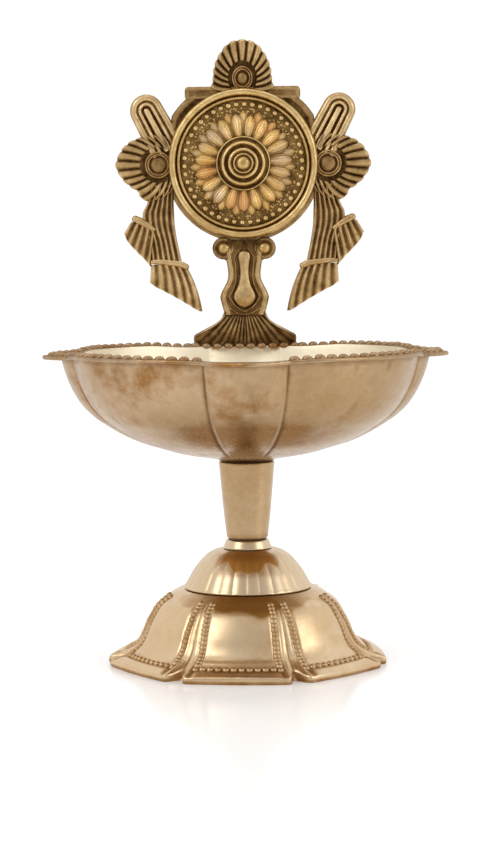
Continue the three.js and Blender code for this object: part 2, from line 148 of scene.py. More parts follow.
# ------------------------------------------------------------------ mesh builder
class Form:
    """Closed shells gathered into one mesh. The first per-point value is 0 in a recess and 1 on a ridge, and on the
    bowl's inner wall it marks a painted pale sheen; the second darkens: patina in the creases, and in places painted
    shade, painted shadow and painted reflection.
    """

    def __init__(self):
        self.v, self.q, self.t, self.wear, self.stain, self.n = [], [], [], [], [], 0

    def add(self, v, quads, tris, wear=0.5, stain=0.0):
        v = np.asarray(v, float)
        quads = np.asarray(quads, int).reshape(-1, 4)
        tris = np.asarray(tris, int).reshape(-1, 3)
        all_tris = np.vstack([tris, quads[:, [0, 1, 2]], quads[:, [0, 2, 3]]])
        c = v - v.mean(axis=0)
        a, b, d = c[all_tris[:, 0]], c[all_tris[:, 1]], c[all_tris[:, 2]]
        if np.einsum("ij,ij->i", a, np.cross(b, d)).sum() < 0:
            quads, tris = quads[:, ::-1], tris[:, ::-1]
        self.v.append(v)
        self.q.append(quads + self.n)
        self.t.append(tris + self.n)
        self.wear.append(np.broadcast_to(np.asarray(wear, float).reshape(-1), (len(v),)).copy())
        self.stain.append(np.broadcast_to(np.asarray(stain, float).reshape(-1), (len(v),)).copy())
        self.n += len(v)

    def turned(self, p, closed_profile=True, wear=0.5, stain=0.0):
        """p is (around, along, 3), closed around. An open profile starts and ends on the axis."""
        nu, nv = p.shape[:2]
        wear = np.broadcast_to(np.asarray(wear, float), (nu, nv)).reshape(-1)
        stain = np.broadcast_to(np.asarray(stain, float), (nu, nv)).reshape(-1)
        i = np.arange(nu)[:, None]
        j = np.arange(nv if closed_profile else nv - 1)[None, :]
        i2, j2 = (i + 1) % nu, (j + 1) % nv
        quads = np.stack([i * nv + j, i2 * nv + j, i2 * nv + j2, i * nv + j2], axis=-1).reshape(-1, 4)
        v = p.reshape(-1, 3)
        tris = []
        if not closed_profile:
            ends = np.array([p[:, 0].mean(axis=0), p[:, -1].mean(axis=0)])
            k = np.arange(nu)
            first = np.stack([k * nv, np.full(nu, nu * nv), ((k + 1) % nu) * nv], axis=1)
            last = np.stack([k * nv + nv - 1, ((k + 1) % nu) * nv + nv - 1, np.full(nu, nu * nv + 1)], axis=1)
            v = np.vstack([v, ends])
            tris = np.vstack([first, last])
            wear = np.r_[wear, wear[0], wear[nv - 1]]
            stain = np.r_[stain, stain[0], stain[nv - 1]]
        self.add(v, quads, tris, wear, stain)

    def slab(self, p, back, wear=0.5, stain=0.0):
        """A relief: p is the front as a (rows, columns, 3) grid, closed off by a flat back at y = back."""
        nu, nv = p.shape[:2]
        rear = p.copy()
        rear[..., 1] = back
        n = nu * nv
        i, j = np.arange(nu - 1)[:, None], np.arange(nv - 1)[None, :]
        f = np.stack([i * nv + j, (i + 1) * nv + j, (i + 1) * nv + j + 1, i * nv + j + 1], axis=-1).reshape(-1, 4)
        rim = np.concatenate([np.arange(nv - 1), np.arange(nu - 1) * nv + nv - 1,
                              (nu - 1) * nv + np.arange(nv - 1, 0, -1), np.arange(nu - 1, 0, -1) * nv])
        nxt = np.roll(rim, -1)
        wall = np.stack([rim, nxt, nxt + n, rim + n], axis=1)
        w = np.broadcast_to(np.asarray(wear, float), (nu, nv)).reshape(-1)
        s = np.broadcast_to(np.asarray(stain, float), (nu, nv)).reshape(-1)
        self.add(np.vstack([p.reshape(-1, 3), rear.reshape(-1, 3)]), np.vstack([f, f[:, ::-1] + n, wall]), [],
                 np.r_[w, w * 0 + 0.45], np.r_[s, s])

    def fan(self, p, back, wear=0.5, stain=0.0):
        """A relief round a middle: p is (around, outwards, 3), closed around, with a flat back."""
        nu, nv = p.shape[:2]
        v = p.reshape(-1, 3)
        rim = p[:, -1].copy()
        rim[:, 1] = back
        mid = p[:, 0].mean(axis=0)
        mid_back = np.array([mid[0], back, mid[2]])
        k, k2 = np.arange(nu), (np.arange(nu) + 1) % nu
        i, j = k[:, None], np.arange(nv - 1)[None, :]
        i2 = k2[:, None]
        f = np.stack([i * nv + j, i2 * nv + j, i2 * nv + j + 1, i * nv + j + 1], axis=-1).reshape(-1, 4)
        n = nu * nv
        wall = np.stack([k * nv + nv - 1, k2 * nv + nv - 1, n + k2, n + k], axis=1)
        tris = np.vstack([np.stack([k2 * nv, k * nv, np.full(nu, n + nu)], axis=1),
                          np.stack([n + k, n + k2, np.full(nu, n + nu + 1)], axis=1)])
        w = np.broadcast_to(np.asarray(wear, float), (nu, nv))
        s = np.broadcast_to(np.asarray(stain, float), (nu, nv))
        self.add(np.vstack([v, rim, mid, mid_back]), np.vstack([f, wall]), tris,
                 np.r_[w.reshape(-1), np.full(nu, 0.45), w[:, 0].mean(), 0.45],
                 np.r_[s.reshape(-1), s[:, -1], s[:, 0].mean(), 0.2])

    def beads(self, centres, axes, radius, height, wear=0.9, stain=0.0, around=12, rings=7, along=None, stretch=1.0):
        """Domed beads: flattened balls, standing along their axes."""
        centres = np.asarray(centres, float).reshape(-1, 3)
        axes = np.broadcast_to(np.asarray(axes, float), centres.shape)
        radius = np.broadcast_to(np.asarray(radius, float), (len(centres),))
        height = np.broadcast_to(np.asarray(height, float), (len(centres),))
        th = np.linspace(0, math.pi, rings + 2)[1:-1]
        ph = np.arange(around) * TAU / around
        ring = np.array([[math.sin(t) * math.cos(p), math.sin(t) * math.sin(p), math.cos(t)] for t in th for p in ph])
        unit = np.vstack([ring, [0, 0, 1], [0, 0, -1]])
        i, j = np.arange(rings - 1)[:, None], np.arange(around)[None, :]
        j2 = (j + 1) % around
        quads = np.stack([i * around + j, (i + 1) * around + j, (i + 1) * around + j2, i * around + j2], axis=-1).reshape(-1, 4)
        top, bot = rings * around, rings * around + 1
        k, k2 = np.arange(around), (np.arange(around) + 1) % around
        tris = np.vstack([np.stack([np.full(around, top), k, k2], axis=1),
                          np.stack([np.full(around, bot), (rings - 1) * around + k2, (rings - 1) * around + k], axis=1)])
        for n, (c, a, r, h) in enumerate(zip(centres, axes, radius, height)):
            a = a / np.linalg.norm(a)
            ref = np.array([1.0, 0, 0]) if abs(a[0]) < 0.8 else np.array([0, 0, 1.0])
            if along is not None:
                ref = np.asarray(along).reshape(-1, 3)[n % len(np.asarray(along).reshape(-1, 3))]
            e1 = ref - a * ref.dot(a)
            e1 /= np.linalg.norm(e1)
            e2 = np.cross(a, e1)
            v = c + unit[:, :1] * e1 * r * stretch + unit[:, 1:2] * e2 * r + unit[:, 2:3] * a * h
            self.add(v, quads, tris, wear - 0.75 * (1 - np.clip(unit[:, 2] * 1.25, 0, 1)), stain)

    def tube(self, line, radii, around=14, wear=0.8, stain=0.0, flat=1.0):
        """A rounded bar along a line in the XZ plane at its own y, closed at both ends by flat caps. radii vary along
        it.
        """
        line = np.asarray(line, float)
        n = len(line)
        radii = np.broadcast_to(np.asarray(radii, float), (n,))
        d = np.gradient(line, axis=0)
        d /= np.linalg.norm(d, axis=1)[:, None]
        yv = np.array([0, 1.0, 0])
        side = np.cross(d, yv)
        side /= np.linalg.norm(side, axis=1)[:, None]
        up = np.cross(side, d)
        ph = np.arange(around) * TAU / around
        p = (line[None] + np.cos(ph)[:, None, None] * side[None] * radii[None, :, None]
             + np.sin(ph)[:, None, None] * up[None] * radii[None, :, None] * flat)
        self.turned(p, closed_profile=False, wear=wear, stain=stain)

    def object(self, name, body, replaces=(), slot=None, material=None, sharp=38):
        mesh = bpy.data.meshes.new(name)
        v = (np.vstack(self.v) + [0, 0, LIFT]) * MM
        q, t = np.vstack(self.q), np.vstack(self.t)
        loops = np.concatenate([q.reshape(-1), t.reshape(-1)])
        sizes = np.concatenate([np.full(len(q), 4), np.full(len(t), 3)])
        mesh.vertices.add(len(v))
        mesh.vertices.foreach_set("co", v.reshape(-1))
        mesh.loops.add(len(loops))
        mesh.loops.foreach_set("vertex_index", loops)
        mesh.polygons.add(len(sizes))
        mesh.polygons.foreach_set("loop_start", np.r_[0, np.cumsum(sizes)[:-1]])
        mesh.update(calc_edges=True)
        mesh.validate(verbose=False)
        for key, values in (("wear", self.wear), ("stain", self.stain)):
            a = mesh.attributes.new(key, "FLOAT", "POINT")
            a.data.foreach_set("value", np.concatenate(values).astype(np.float32))
        mesh.polygons.foreach_set("use_smooth", np.ones(len(mesh.polygons), bool))
        mesh.set_sharp_from_angle(angle=math.radians(sharp))
        mesh.update()
        obj = bpy.data.objects.new(name, mesh)
        bpy.context.scene.collection.objects.link(obj)
        if material:
            mesh.materials.append(material)
        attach(obj, body)
        if replaces:
            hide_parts(*([replaces] if isinstance(replaces, str) else replaces))
        return obj


def around(radius, z, angles):
    """(angles, profile, 3) points of a turned form. radius may be a (angles, profile) grid."""
    angles = np.asarray(angles, float)
    radius = np.broadcast_to(radius, (len(angles), len(z))) if np.ndim(radius) == 1 else radius
    z = np.broadcast_to(z, radius.shape)
    return np.stack([radius * np.cos(angles)[:, None], radius * np.sin(angles)[:, None], z], axis=-1)


def around_y(radius, height, angles, x, y0, z, normal=-1):
    """Like around, about a line along Y through (x, z). A height runs from y0 towards the front."""
    angles = np.asarray(angles, float)
    r = np.broadcast_to(radius, (len(angles), len(height)))
    h = np.broadcast_to(height, r.shape)
    return np.stack([x + r * np.cos(angles)[:, None], y0 + normal * h, z + r * np.sin(angles)[:, None]], axis=-1)


# ------------------------------------------------------------------ materials
def nodes_of(name):
    m = bpy.data.materials.new(name)
    m.use_nodes = True
    nt = m.node_tree
    nt.nodes.clear()
    out = nt.nodes.new("ShaderNodeOutputMaterial")
    bsdf = nt.nodes.new("ShaderNodeBsdfPrincipled")
    nt.links.new(bsdf.outputs["BSDF"], out.inputs["Surface"])
    return m, nt, bsdf


class Net:
    """Short names for building a node tree."""

    def __init__(self, nt):
        self.nt = nt
        self.coord = nt.nodes.new("ShaderNodeTexCoord").outputs["Object"]

    def link(self, a, b):
        self.nt.links.new(a, b)

    def put(self, socket, value):
        if isinstance(value, (int, float, tuple, list)):
            socket.default_value = value
        else:
            self.link(value, socket)

    def attr(self, name):
        n = self.nt.nodes.new("ShaderNodeAttribute")
        n.attribute_name = name
        return n.outputs["Fac"]

    def math(self, op, a, b=0.0, c=None, clamp=False):
        n = self.nt.nodes.new("ShaderNodeMath")
        n.operation = op
        n.use_clamp = clamp
        self.put(n.inputs[0], a)
        self.put(n.inputs[1], b)
        if c is not None:
            self.put(n.inputs[2], c)
        return n.outputs[0]

    def mapping(self, scale=(1, 1, 1), rotate=(0, 0, 0), move=(0, 0, 0)):
        n = self.nt.nodes.new("ShaderNodeMapping")
        n.inputs["Scale"].default_value = scale
        n.inputs["Rotation"].default_value = rotate
        n.inputs["Location"].default_value = move
        self.link(self.coord, n.inputs["Vector"])
        return n.outputs[0]

    def noise(self, scale, detail=4.0, rough=0.5, vector=None, distortion=0.0):
        n = self.nt.nodes.new("ShaderNodeTexNoise")
        n.inputs["Scale"].default_value = scale
        n.inputs["Detail"].default_value = detail
        n.inputs["Roughness"].default_value = rough
        n.inputs["Distortion"].default_value = distortion
        self.link(vector or self.coord, n.inputs["Vector"])
        return n.outputs["Fac"]

    def voronoi(self, scale, feature="F1", vector=None):
        n = self.nt.nodes.new("ShaderNodeTexVoronoi")
        n.feature = feature
        n.inputs["Scale"].default_value = scale
        self.link(vector or self.coord, n.inputs["Vector"])
        return n.outputs["Distance"]

    def ramp(self, value, stops, interpolation="LINEAR"):
        n = self.nt.nodes.new("ShaderNodeValToRGB")
        n.color_ramp.interpolation = interpolation
        el = n.color_ramp.elements
        while len(el) > 1:
            el.remove(el[-1])
        for k, (pos, col) in enumerate(stops):
            e = el[0] if k == 0 else el.new(pos)
            e.position = pos
            if isinstance(col, (int, float)):
                col = (col, col, col)
            e.color = (*col[:3], 1)
        self.link(value, n.inputs["Fac"])
        return n.outputs["Color"]

    def mix(self, fac, a, b, blend="MIX"):
        n = self.nt.nodes.new("ShaderNodeMix")
        n.data_type = "RGBA"
        n.blend_type = blend
        n.clamp_factor = True
        self.put(n.inputs["Factor"], fac)
        for s, v in ((n.inputs[6], a), (n.inputs[7], b)):
            if isinstance(v, (tuple, list)):
                s.default_value = (*v[:3], 1)
            else:
                self.link(v, s)
        return n.outputs[2]

    def bump(self, height, strength, distance, normal=None):
        n = self.nt.nodes.new("ShaderNodeBump")
        n.inputs["Strength"].default_value = strength
        n.inputs["Distance"].default_value = distance
        self.link(height, n.inputs["Height"])
        if normal is not None:
            self.link(normal, n.inputs["Normal"])
        return n.outputs["Normal"]

    def xyz(self, vector=None):
        n = self.nt.nodes.new("ShaderNodeSeparateXYZ")
        self.link(vector or self.coord, n.inputs[0])
        return n.outputs


def polished_brass(name, base, pale, warm, dark, rough, warm_amount=0.5, streak_axis=True, polish=0.06, inside=None, scuff=0.12):
    """Buffed cast brass: drifting colour, patina held in the creases together with painted shade, painted shadow and
    painted reflection, a painted pale sheen where an inner colour is given, fine polishing lines.
    """
    m, nt, bsdf = nodes_of(name)
    g = Net(nt)
    drift = g.noise(22, 3, 0.55)
    patch = g.noise(44, 6, 0.66, distortion=0.25)
    grain = g.noise(420, 3, 0.6)
    colour = g.mix(g.ramp(drift, [(0.38, 0.0), (0.62, 1.0)]), base, pale)
    blot = g.math("MULTIPLY", g.ramp(patch, [(0.49, 0.0), (0.64, 1.0)]), warm_amount)
    colour = g.mix(blot, colour, warm)
    colour = g.mix(g.math("MULTIPLY", g.ramp(grain, [(0.35, 0.0), (0.8, 1.0)]), 0.22), colour, warm)
    # fine scuffs all round, denser in places
    scuffs = g.math("MULTIPLY", g.ramp(g.noise(1.0, 4, 0.7, vector=g.mapping(scale=(150, 150, 620))), [(0.55, 0.0), (0.72, 1.0)]),
                    g.ramp(g.noise(34, 3, 0.5), [(0.42, 0.0), (0.62, 1.0)]))
    colour = g.mix(g.math("MULTIPLY", scuffs, scuff * 3), colour, warm)
    # patina left where the buff can't reach, with the painted shade, painted shadow and painted reflection that share
    # its mask, broken up by noise
    edge = g.math("ADD", g.attr("stain"), g.math("MULTIPLY", g.math("SUBTRACT", g.noise(150, 5, 0.65), 0.5), 0.9))
    tarnish_and_light_mix = g.math("MULTIPLY", g.ramp(edge, [(0.2, 0.0), (0.85, 1.0)]), g.ramp(g.attr("stain"), [(0.0, 0.0), (0.14, 1.0)]))
    colour = g.mix(tarnish_and_light_mix, colour, dark)
    # small specks of tarnish over the whole casting
    specks = g.math("MULTIPLY", g.ramp(g.voronoi(300), [(0.0, 1.0), (0.16, 0.0)]), g.ramp(g.noise(60, 2, 0.5), [(0.52, 0.0), (0.66, 1.0)]))
    colour = g.mix(g.math("MULTIPLY", specks, 0.5), colour, dark)
    bright = g.ramp(g.attr("wear"), [(0.93, 0.0), (0.985, 1.0)])
    # A painted pale sheen: where the per-point ridge value is near 1 (the bowl's inner wall), the colour turns
    # near-white and the roughness rises.
    if inside:
        colour = g.mix(bright, colour, g.mix(g.ramp(patch, [(0.35, 0.0), (0.7, 1.0)]), inside, tuple(0.86 * c for c in inside)))
    g.link(colour, bsdf.inputs["Base Color"])
    bsdf.inputs["Metallic"].default_value = 1.0
    lines = g.noise(1.0, 3, 0.6, vector=g.mapping(scale=(90, 90, 1900)))
    cross = g.noise(1.0, 2, 0.5, vector=g.mapping(scale=(1300, 1300, 60)))
    r = g.math("ADD", rough, g.math("MULTIPLY", g.math("SUBTRACT", drift, 0.5), 0.2))
    r = g.math("ADD", r, g.math("MULTIPLY", g.math("SUBTRACT", grain, 0.5), 0.14))
    r = g.math("ADD", r, g.math("MULTIPLY", scuffs, scuff))
    r = g.math("ADD", r, g.math("MULTIPLY", tarnish_and_light_mix, 0.26), clamp=True)
    if inside:
        r = g.math("ADD", r, g.math("MULTIPLY", bright, 0.22), clamp=True)
    g.link(r, bsdf.inputs["Roughness"])
    n1 = g.bump(g.noise(60, 3, 0.5), 0.2, 0.0012)
    n2 = g.bump(lines if streak_axis else cross, polish, 0.00012, n1)
    n3 = g.bump(grain, 0.06, 0.00022, n2)
    g.link(n3, bsdf.inputs["Normal"])
    return m


def antique_brass(name, dark, mid, bright, top, rough=0.44, tint=None, grain=0.5, contrast=1.0):
    """Antiqued cast brass: brown in the recesses, rubbed bright on the ridges, with a sandy cast skin."""
    m, nt, bsdf = nodes_of(name)
    g = Net(nt)
    wear = g.attr("wear")
    n = g.noise(360, 5, 0.7)
    broad = g.noise(75, 3, 0.5)
    v = g.math("MULTIPLY_ADD", g.math("SUBTRACT", wear, 0.5), contrast, 0.5)
    v = g.math("ADD", v, g.math("MULTIPLY", g.math("SUBTRACT", n, 0.5), 0.9))
    v = g.math("ADD", v, g.math("MULTIPLY", g.math("SUBTRACT", broad, 0.5), 0.4), clamp=True)
    colour = g.ramp(v, [(0.06, dark), (0.34, mid), (0.68, bright), (0.98, top)])
    if tint:
        place, shades = tint
        hue = g.ramp(g.noise(place, 2, 0.5), shades)
        colour = g.mix(g.math("MULTIPLY", g.ramp(wear, [(0.35, 0.0), (0.7, 1.0)]), 0.6), colour, hue)
    g.link(colour, bsdf.inputs["Base Color"])
    bsdf.inputs["Metallic"].default_value = 1.0
    r = g.math("ADD", rough, g.math("MULTIPLY", g.math("SUBTRACT", 0.6, v), 0.34), clamp=True)
    g.link(r, bsdf.inputs["Roughness"])
    sand = g.bump(g.noise(850, 4, 0.7), grain, 0.00024)
    skin = g.bump(g.noise(230, 4, 0.6), 0.35, 0.0004, sand)
    g.link(skin, bsdf.inputs["Normal"])
    return m


# dark brown for patina, and for the painted shade and painted reflection on the foot
TARNISH_AND_SHADE = (0.33, 0.158, 0.036)
BRASS = polished_brass("polished brass", (0.66, 0.465, 0.265), (0.74, 0.575, 0.375), (0.55, 0.335, 0.14), TARNISH_AND_SHADE, 0.29)
BRASS_DOME = polished_brass("polished brass dome", (0.66, 0.495, 0.315), (0.74, 0.59, 0.41), (0.58, 0.40, 0.21), (0.42, 0.20, 0.045), 0.32, warm_amount=0.3)
BRASS_STEM = polished_brass("polished brass stem", (0.43, 0.288, 0.15), (0.51, 0.37, 0.225), (0.33, 0.185, 0.07), TARNISH_AND_SHADE, 0.28)
# The bowl's near-white inner colour is a painted sheen on its inner wall.
BRASS_BOWL = polished_brass("polished brass bowl", (0.365, 0.238, 0.118), (0.48, 0.345, 0.215), (0.27, 0.125, 0.032), (0.17, 0.08, 0.022), 0.30, warm_amount=0.95,
                            inside=(0.97, 0.88, 0.70), scuff=0.16)
TURNED = polished_brass("turned brass", (0.62, 0.45, 0.22), (0.72, 0.56, 0.32), (0.50, 0.31, 0.12), (0.10, 0.05, 0.018), 0.26, warm_amount=0.25, polish=0.25)
# Very dark brass for the thin washers in the seams under the stem and under the bowl, so each seam shows as a dark
# ring.
SEAM = polished_brass("seam washer", (0.13, 0.085, 0.045), (0.2, 0.13, 0.07), (0.09, 0.05, 0.02), (0.03, 0.016, 0.008), 0.5, warm_amount=0.5, polish=0.3)
CAST = antique_brass("antique brass", (0.075, 0.036, 0.011), (0.235, 0.135, 0.050), (0.47, 0.31, 0.135), (0.72, 0.53, 0.285))
CAST_RIM = antique_brass("antique brass rim", (0.085, 0.043, 0.012), (0.29, 0.172, 0.056), (0.56, 0.375, 0.145), (0.76, 0.56, 0.27), rough=0.40, contrast=0.95)
PETAL = antique_brass("antique brass petals", (0.09, 0.045, 0.014), (0.27, 0.155, 0.052), (0.58, 0.39, 0.165), (0.82, 0.63, 0.34), rough=0.42, contrast=1.15,
                      tint=(95, [(0.36, (0.66, 0.28, 0.085)), (0.45, (0.74, 0.45, 0.13)), (0.54, (0.72, 0.51, 0.24)), (0.66, (0.58, 0.44, 0.33))]))


def ring_points(count, start=0.0):
    return start + np.arange(count) * TAU / count


# ================================================================== foot
LOBES, SKIRT_R = 7, 41.2
LOBE = curve([(0, .935), (.38, .944), (.62, .960), (.80, .974), (.90, .968), (1, .950)], per=8)
BASE_TURN = math.radians(-5.2)
HALF = math.pi / LOBES


def lobe_u(angle):
    u = (np.asarray(angle) + math.pi / 2) / (2 * HALF)
    return np.abs(u - np.round(u)) * 2


def lobe_factor(angle):
    return np.interp(lobe_u(angle), LOBE[:, 0], LOBE[:, 1])


def notch(angle):
    """The crease between two lobes cuts in deeply only near the hem."""
    return 0.115 * sstep(0.82, 1.0, lobe_u(angle)) ** 1.2


def from_front(angle):
    """Angle from straight in front, once the foot is turned into place."""
    return np.abs((np.asarray(angle) + BASE_TURN + math.pi / 2 + math.pi) % TAU - math.pi)


SKIRT_OUT = [(5.2, 19.8), (19.5, 19.8), (21.2, 19.0), (22.8, 17.95), (25.6, 15.7), (27.6, 12.7), (29.1, 9.9), (30.5, 6.7), (32.2, 4.4), (34.7, 2.8),
             (37.9, 1.65), (40.5, 0.95), (41.05, 0.55), (41.2, -0.1), (41.15, -0.85), (40.85, -1.2)]
SKIRT_IN = [(39.0, -1.2), (33.8, 1.1), (30.7, 2.9), (28.8, 6.1), (27.3, 9.3), (23.9, 14.2), (18.8, 17.6), (5.2, 17.6)]


def column_u(r):
    """Where the bead columns run, between a lobe's middle (0) and its crease (1)."""
    return 0.757 + 0.06 * sstep(34, 23, r)


def skirt_warp(angles, r):
    w = np.clip((r - 14) / (SKIRT_R - 14), 0, 1)
    return r * (1 - (1 - lobe_factor(angles)[:, None]) * w ** 3 - notch(angles)[:, None] * w ** 7)


def skirt_surface(angles, out_profile):
    """Radius and height over the outer face, with the beaded channels and the ridges beside each crease."""
    r, z = out_profile[:, 0], out_profile[:, 1]
    f = lobe_factor(angles)[:, None]
    radius = skirt_warp(angles, r)
    t = np.gradient(out_profile, axis=0)
    t /= np.linalg.norm(t, axis=1)[:, None]
    nr, nz = np.abs(t[:, 1]), np.abs(t[:, 0])
    u = lobe_u(angles)[:, None]
    fade = (sstep(19.2, 17.4, z) * sstep(-0.2, 1.6, z))[None]
    col = column_u(r)[None]
    side = -0.30 * bump(u, col, 0.055) - 0.10 * bump(u, (1 + col) / 2, 0.014) - 0.10 * bump(u, 1.0, 0.018)
    side = side * fade
    low = (1 - sstep(0.737, 0.837, u)) * (-0.34 * bump(r, 35.8, 1.2) + 0.2 * bump(r, 38.4, 0.9))[None]
    flat = (1 - sstep(0.66, 0.72, u)) * (0.14 * sstep(34.2, 33.4, r) * sstep(17.8, 16.0, z))[None]
    d = side + low + flat
    front = np.exp(-(from_front(angles)[:, None] / 0.75) ** 2)
    stain = (0.92 * bump(u, col, 0.058) + 0.85 * bump(u, 1.0, 0.024) + 0.34 * bump(u, (1 + col) / 2, 0.014)) * fade * (0.75 + 0.25 * sstep(9, 3, z))[None]
    # Darker in the hem's beaded channel, up to twice as dark towards the front, with a wider dark band there.
    stain = np.maximum(stain, (1 - sstep(0.737, 0.827, u)) * (0.50 + 0.50 * front) * np.maximum(bump(r, 35.8, 1.6)[None], 0.95 * front * bump(r, 36.6, 2.9)[None]))
    # Just outside the dome's edge, a dark band over the skirt's top, faint all round and strongest at the front: a
    # painted reflection of the dome.
    lower = 23.6 + 1.5 * np.sin(9 * angles + 1.0)[:, None] * np.sin(4 * angles + 0.4)[:, None] + 1.6 * front
    stain = np.maximum(stain, (0.16 + 0.84 * front) * sstep(lower + 0.6, lower - 0.8, r[None]))
    # Darker along the hem's bottom edge, by the floor.
    stain = np.maximum(stain, 0.72 * sstep(0.2, -0.6, z)[None] * np.ones_like(f))
    return radius + nr[None] * d, z[None] + nz[None] * d, stain


angles = ring_points(LOBES * 112, -math.pi / 2)
outer = curve(SKIRT_OUT, per=6, sharp=(1, 11, 15))
inner = curve(SKIRT_IN, per=5, sharp=(7,))
radius, height, stain = skirt_surface(angles, outer)
r_in = skirt_warp(angles, inner[:, 0])
p_out = around(radius, height, angles + BASE_TURN)
p_in = around(r_in, np.broadcast_to(inner[:, 1], r_in.shape), angles + BASE_TURN)
skirt = Form()
skirt.turned(np.concatenate([p_out, p_in], axis=1), True, 0.5, np.concatenate([stain, np.full(r_in.shape, 0.35)], axis=1))


def on_skirt(angle, s_index):
    """A point on the outer face and its outward direction, at fractional positions along the profile."""
    rr, zz, _ = skirt_surface(np.array([angle - 0.004, angle, angle + 0.004]), outer)
    pts = around(rr, zz, np.array([angle - 0.004, angle, angle + 0.004]) + BASE_TURN)
    k = int(np.clip(round(s_index), 1, len(outer) - 2))
    c = pts[1, k]
    n = np.cross(pts[2, k] - pts[0, k], pts[1, k + 1] - pts[1, k - 1])
    n /= np.linalg.norm(n)
    if n[2] < 0 and n[0] * c[0] + n[1] * c[1] < 0 or n[2] < -0.2:
        n = -n
    return c, n


foot_rng = np.random.default_rng(5)
for lobe in range(LOBES):
    mid = -math.pi / 2 + lobe * 2 * HALF
    # the beads run down beside each crease and along the hem
    for s in (-1, 1):
        col = []
        for k in range(len(outer)):
            if 2.9 < outer[k, 1] < 18.0 and outer[k, 0] > 20:
                place = mid + s * float(column_u(outer[k, 0])) * HALF
                rr, zz, _ = skirt_surface(np.array([place]), outer[k - 1:k + 2])
                a = place + BASE_TURN
                col.append([rr[0, 1] * math.cos(a), rr[0, 1] * math.sin(a), zz[0, 1], k])
        for x, y, z, k in spaced(np.array(col), 2.72):
            c, n = on_skirt(mid + s * float(column_u(outer[int(round(k)), 0])) * HALF, k)
            size = foot_rng.uniform(0.94, 1.05)
            skirt.beads([np.array([x, y, z]) + n * 0.10], [n], 1.10 * size, 0.80 * size, wear=0.85, stain=0.5, around=12, rings=7)
    hem = []
    k = int(np.argmin(np.abs(outer[:, 0] - 35.8) + 5 * (outer[:, 1] > 10)))
    for a in np.linspace(-0.757 * HALF, 0.757 * HALF, 41):
        c, n = on_skirt(mid + a, k)
        hem.append(np.r_[c, n])
    for row in spaced(np.array(hem), 2.25):
        size = foot_rng.uniform(0.94, 1.05)
        skirt.beads([row[:3] + row[3:] * 0.10], [row[3:]], 0.98 * size, 0.72 * size, wear=0.85, stain=0.5, around=12, rings=7)
skirt.object("foot_skirt", "base", "base_skirt", "polished_brass", BRASS)

# dome: soft gadroons with a faint line between them
dome_out = curve([(18.15, 20.1), (18.2, 20.45), (17.7, 21.3), (16.9, 22.7), (15.3, 25.4), (12.5, 28.75), (10.3, 30.35), (8.2, 31.05), (6.9, 31.1), (5.3, 31.1)], per=7, sharp=(0, 8))
dome_in = curve([(5.3, 29.3), (9.3, 28.6), (11.2, 27.2), (13.5, 24.5), (15.0, 21.6), (15.7, 20.1)], per=4)
angles = ring_points(28 * 24)
gad = np.abs(np.sin(14 * angles + 0.4))[:, None]
amount = 0.014 * sstep(9.5, 15.0, dome_out[:, 0])[None]
r_out = dome_out[:, 0][None] * (1 + amount * (gad ** 0.7 - 0.7) * (0.35 + 0.65 * sstep(20.1, 21.0, dome_out[:, 1])[None]))
# On the dome's top, at the front only, a dark patch with a wavy lower edge: a painted reflection of the stem and bowl
# above it. The faint lines between the gadroons are patina.
front = np.exp(-((((angles + math.pi / 2 + math.pi) % TAU) - math.pi) / 0.66) ** 2)[:, None]
tongues = 27.3 + 2.2 * np.abs(np.sin(7 * angles + 0.2))[:, None] * np.abs(np.cos(3 * angles))[:, None] - 1.7 * front
dome_stain = 0.26 * (1 - gad) ** 6 * sstep(11.5, 14.5, dome_out[:, 0])[None] * np.ones_like(r_out)
dome_stain = np.maximum(dome_stain, (1.0 * sstep(0.12, 0.5, front)) * sstep(tongues - 0.35, tongues + 0.5, dome_out[:, 1][None]))
dome = Form()
dome.turned(np.concatenate([around(r_out, np.broadcast_to(dome_out[:, 1], r_out.shape), angles),
                            around(dome_in[:, 0], dome_in[:, 1], angles)], axis=1), True, 0.5,
            np.concatenate([dome_stain, np.full((len(angles), len(dome_in)), 0.4)], axis=1))
dome.object("foot_dome", "base", "base_dome", "polished_brass", BRASS_DOME)


# collar, with the spigot that runs down through dome and skirt
def lathe(form, profile, count=96, sharp=(), per=4, stain=0.0, wear=0.5, closed=True):
    line = curve(profile, per=per, sharp=sharp)
    a = ring_points(count)
    form.turned(around(line[:, 0], line[:, 1], a), closed, wear, stain)
    return line


collar = Form()
lathe(collar, [(3.9, 33.74), (4.5, 33.75), (5.7, 33.75), (6.0, 33.62), (6.2, 33.3), (6.42, 32.8), (6.66, 32.2), (6.86, 31.7), (6.9, 31.4),
               (4.9, 31.4), (4.9, 12.6), (3.9, 12.6)], 128, sharp=(0, 8, 9, 10, 11), per=5)
collar.object("foot_collar", "base", "base_collar", "turned_brass", BRASS_DOME)

# ================================================================== stem
stem = Form()
stem_line = curve([(3.75, 42.0), (3.75, 34.3), (5.3, 34.27), (5.66, 34.3), (5.86, 34.55), (5.98, 35.2), (6.12, 36.2), (6.62, 40.6), (7.12, 46.0), (7.48, 50.2),
                   (7.78, 53.8), (7.92, 55.2), (7.96, 55.85), (7.84, 56.15), (7.5, 56.22), (3.75, 56.22), (3.75, 45.6)], per=6, sharp=(1, 2, 14, 15))
a = ring_points(160)
# Darker towards both ends, where the stem meets the collar and the bowl.
stem_stain = (0.42 * sstep(36.6, 34.8, stem_line[:, 1]) + 0.26 * sstep(54.6, 56.0, stem_line[:, 1]))[None] * np.ones((160, 1))
stem.turned(around(stem_line[:, 0], stem_line[:, 1], a), False, 0.5, stem_stain)
stem.object("stem_column", "stem", "stem", "polished_brass", BRASS_STEM)

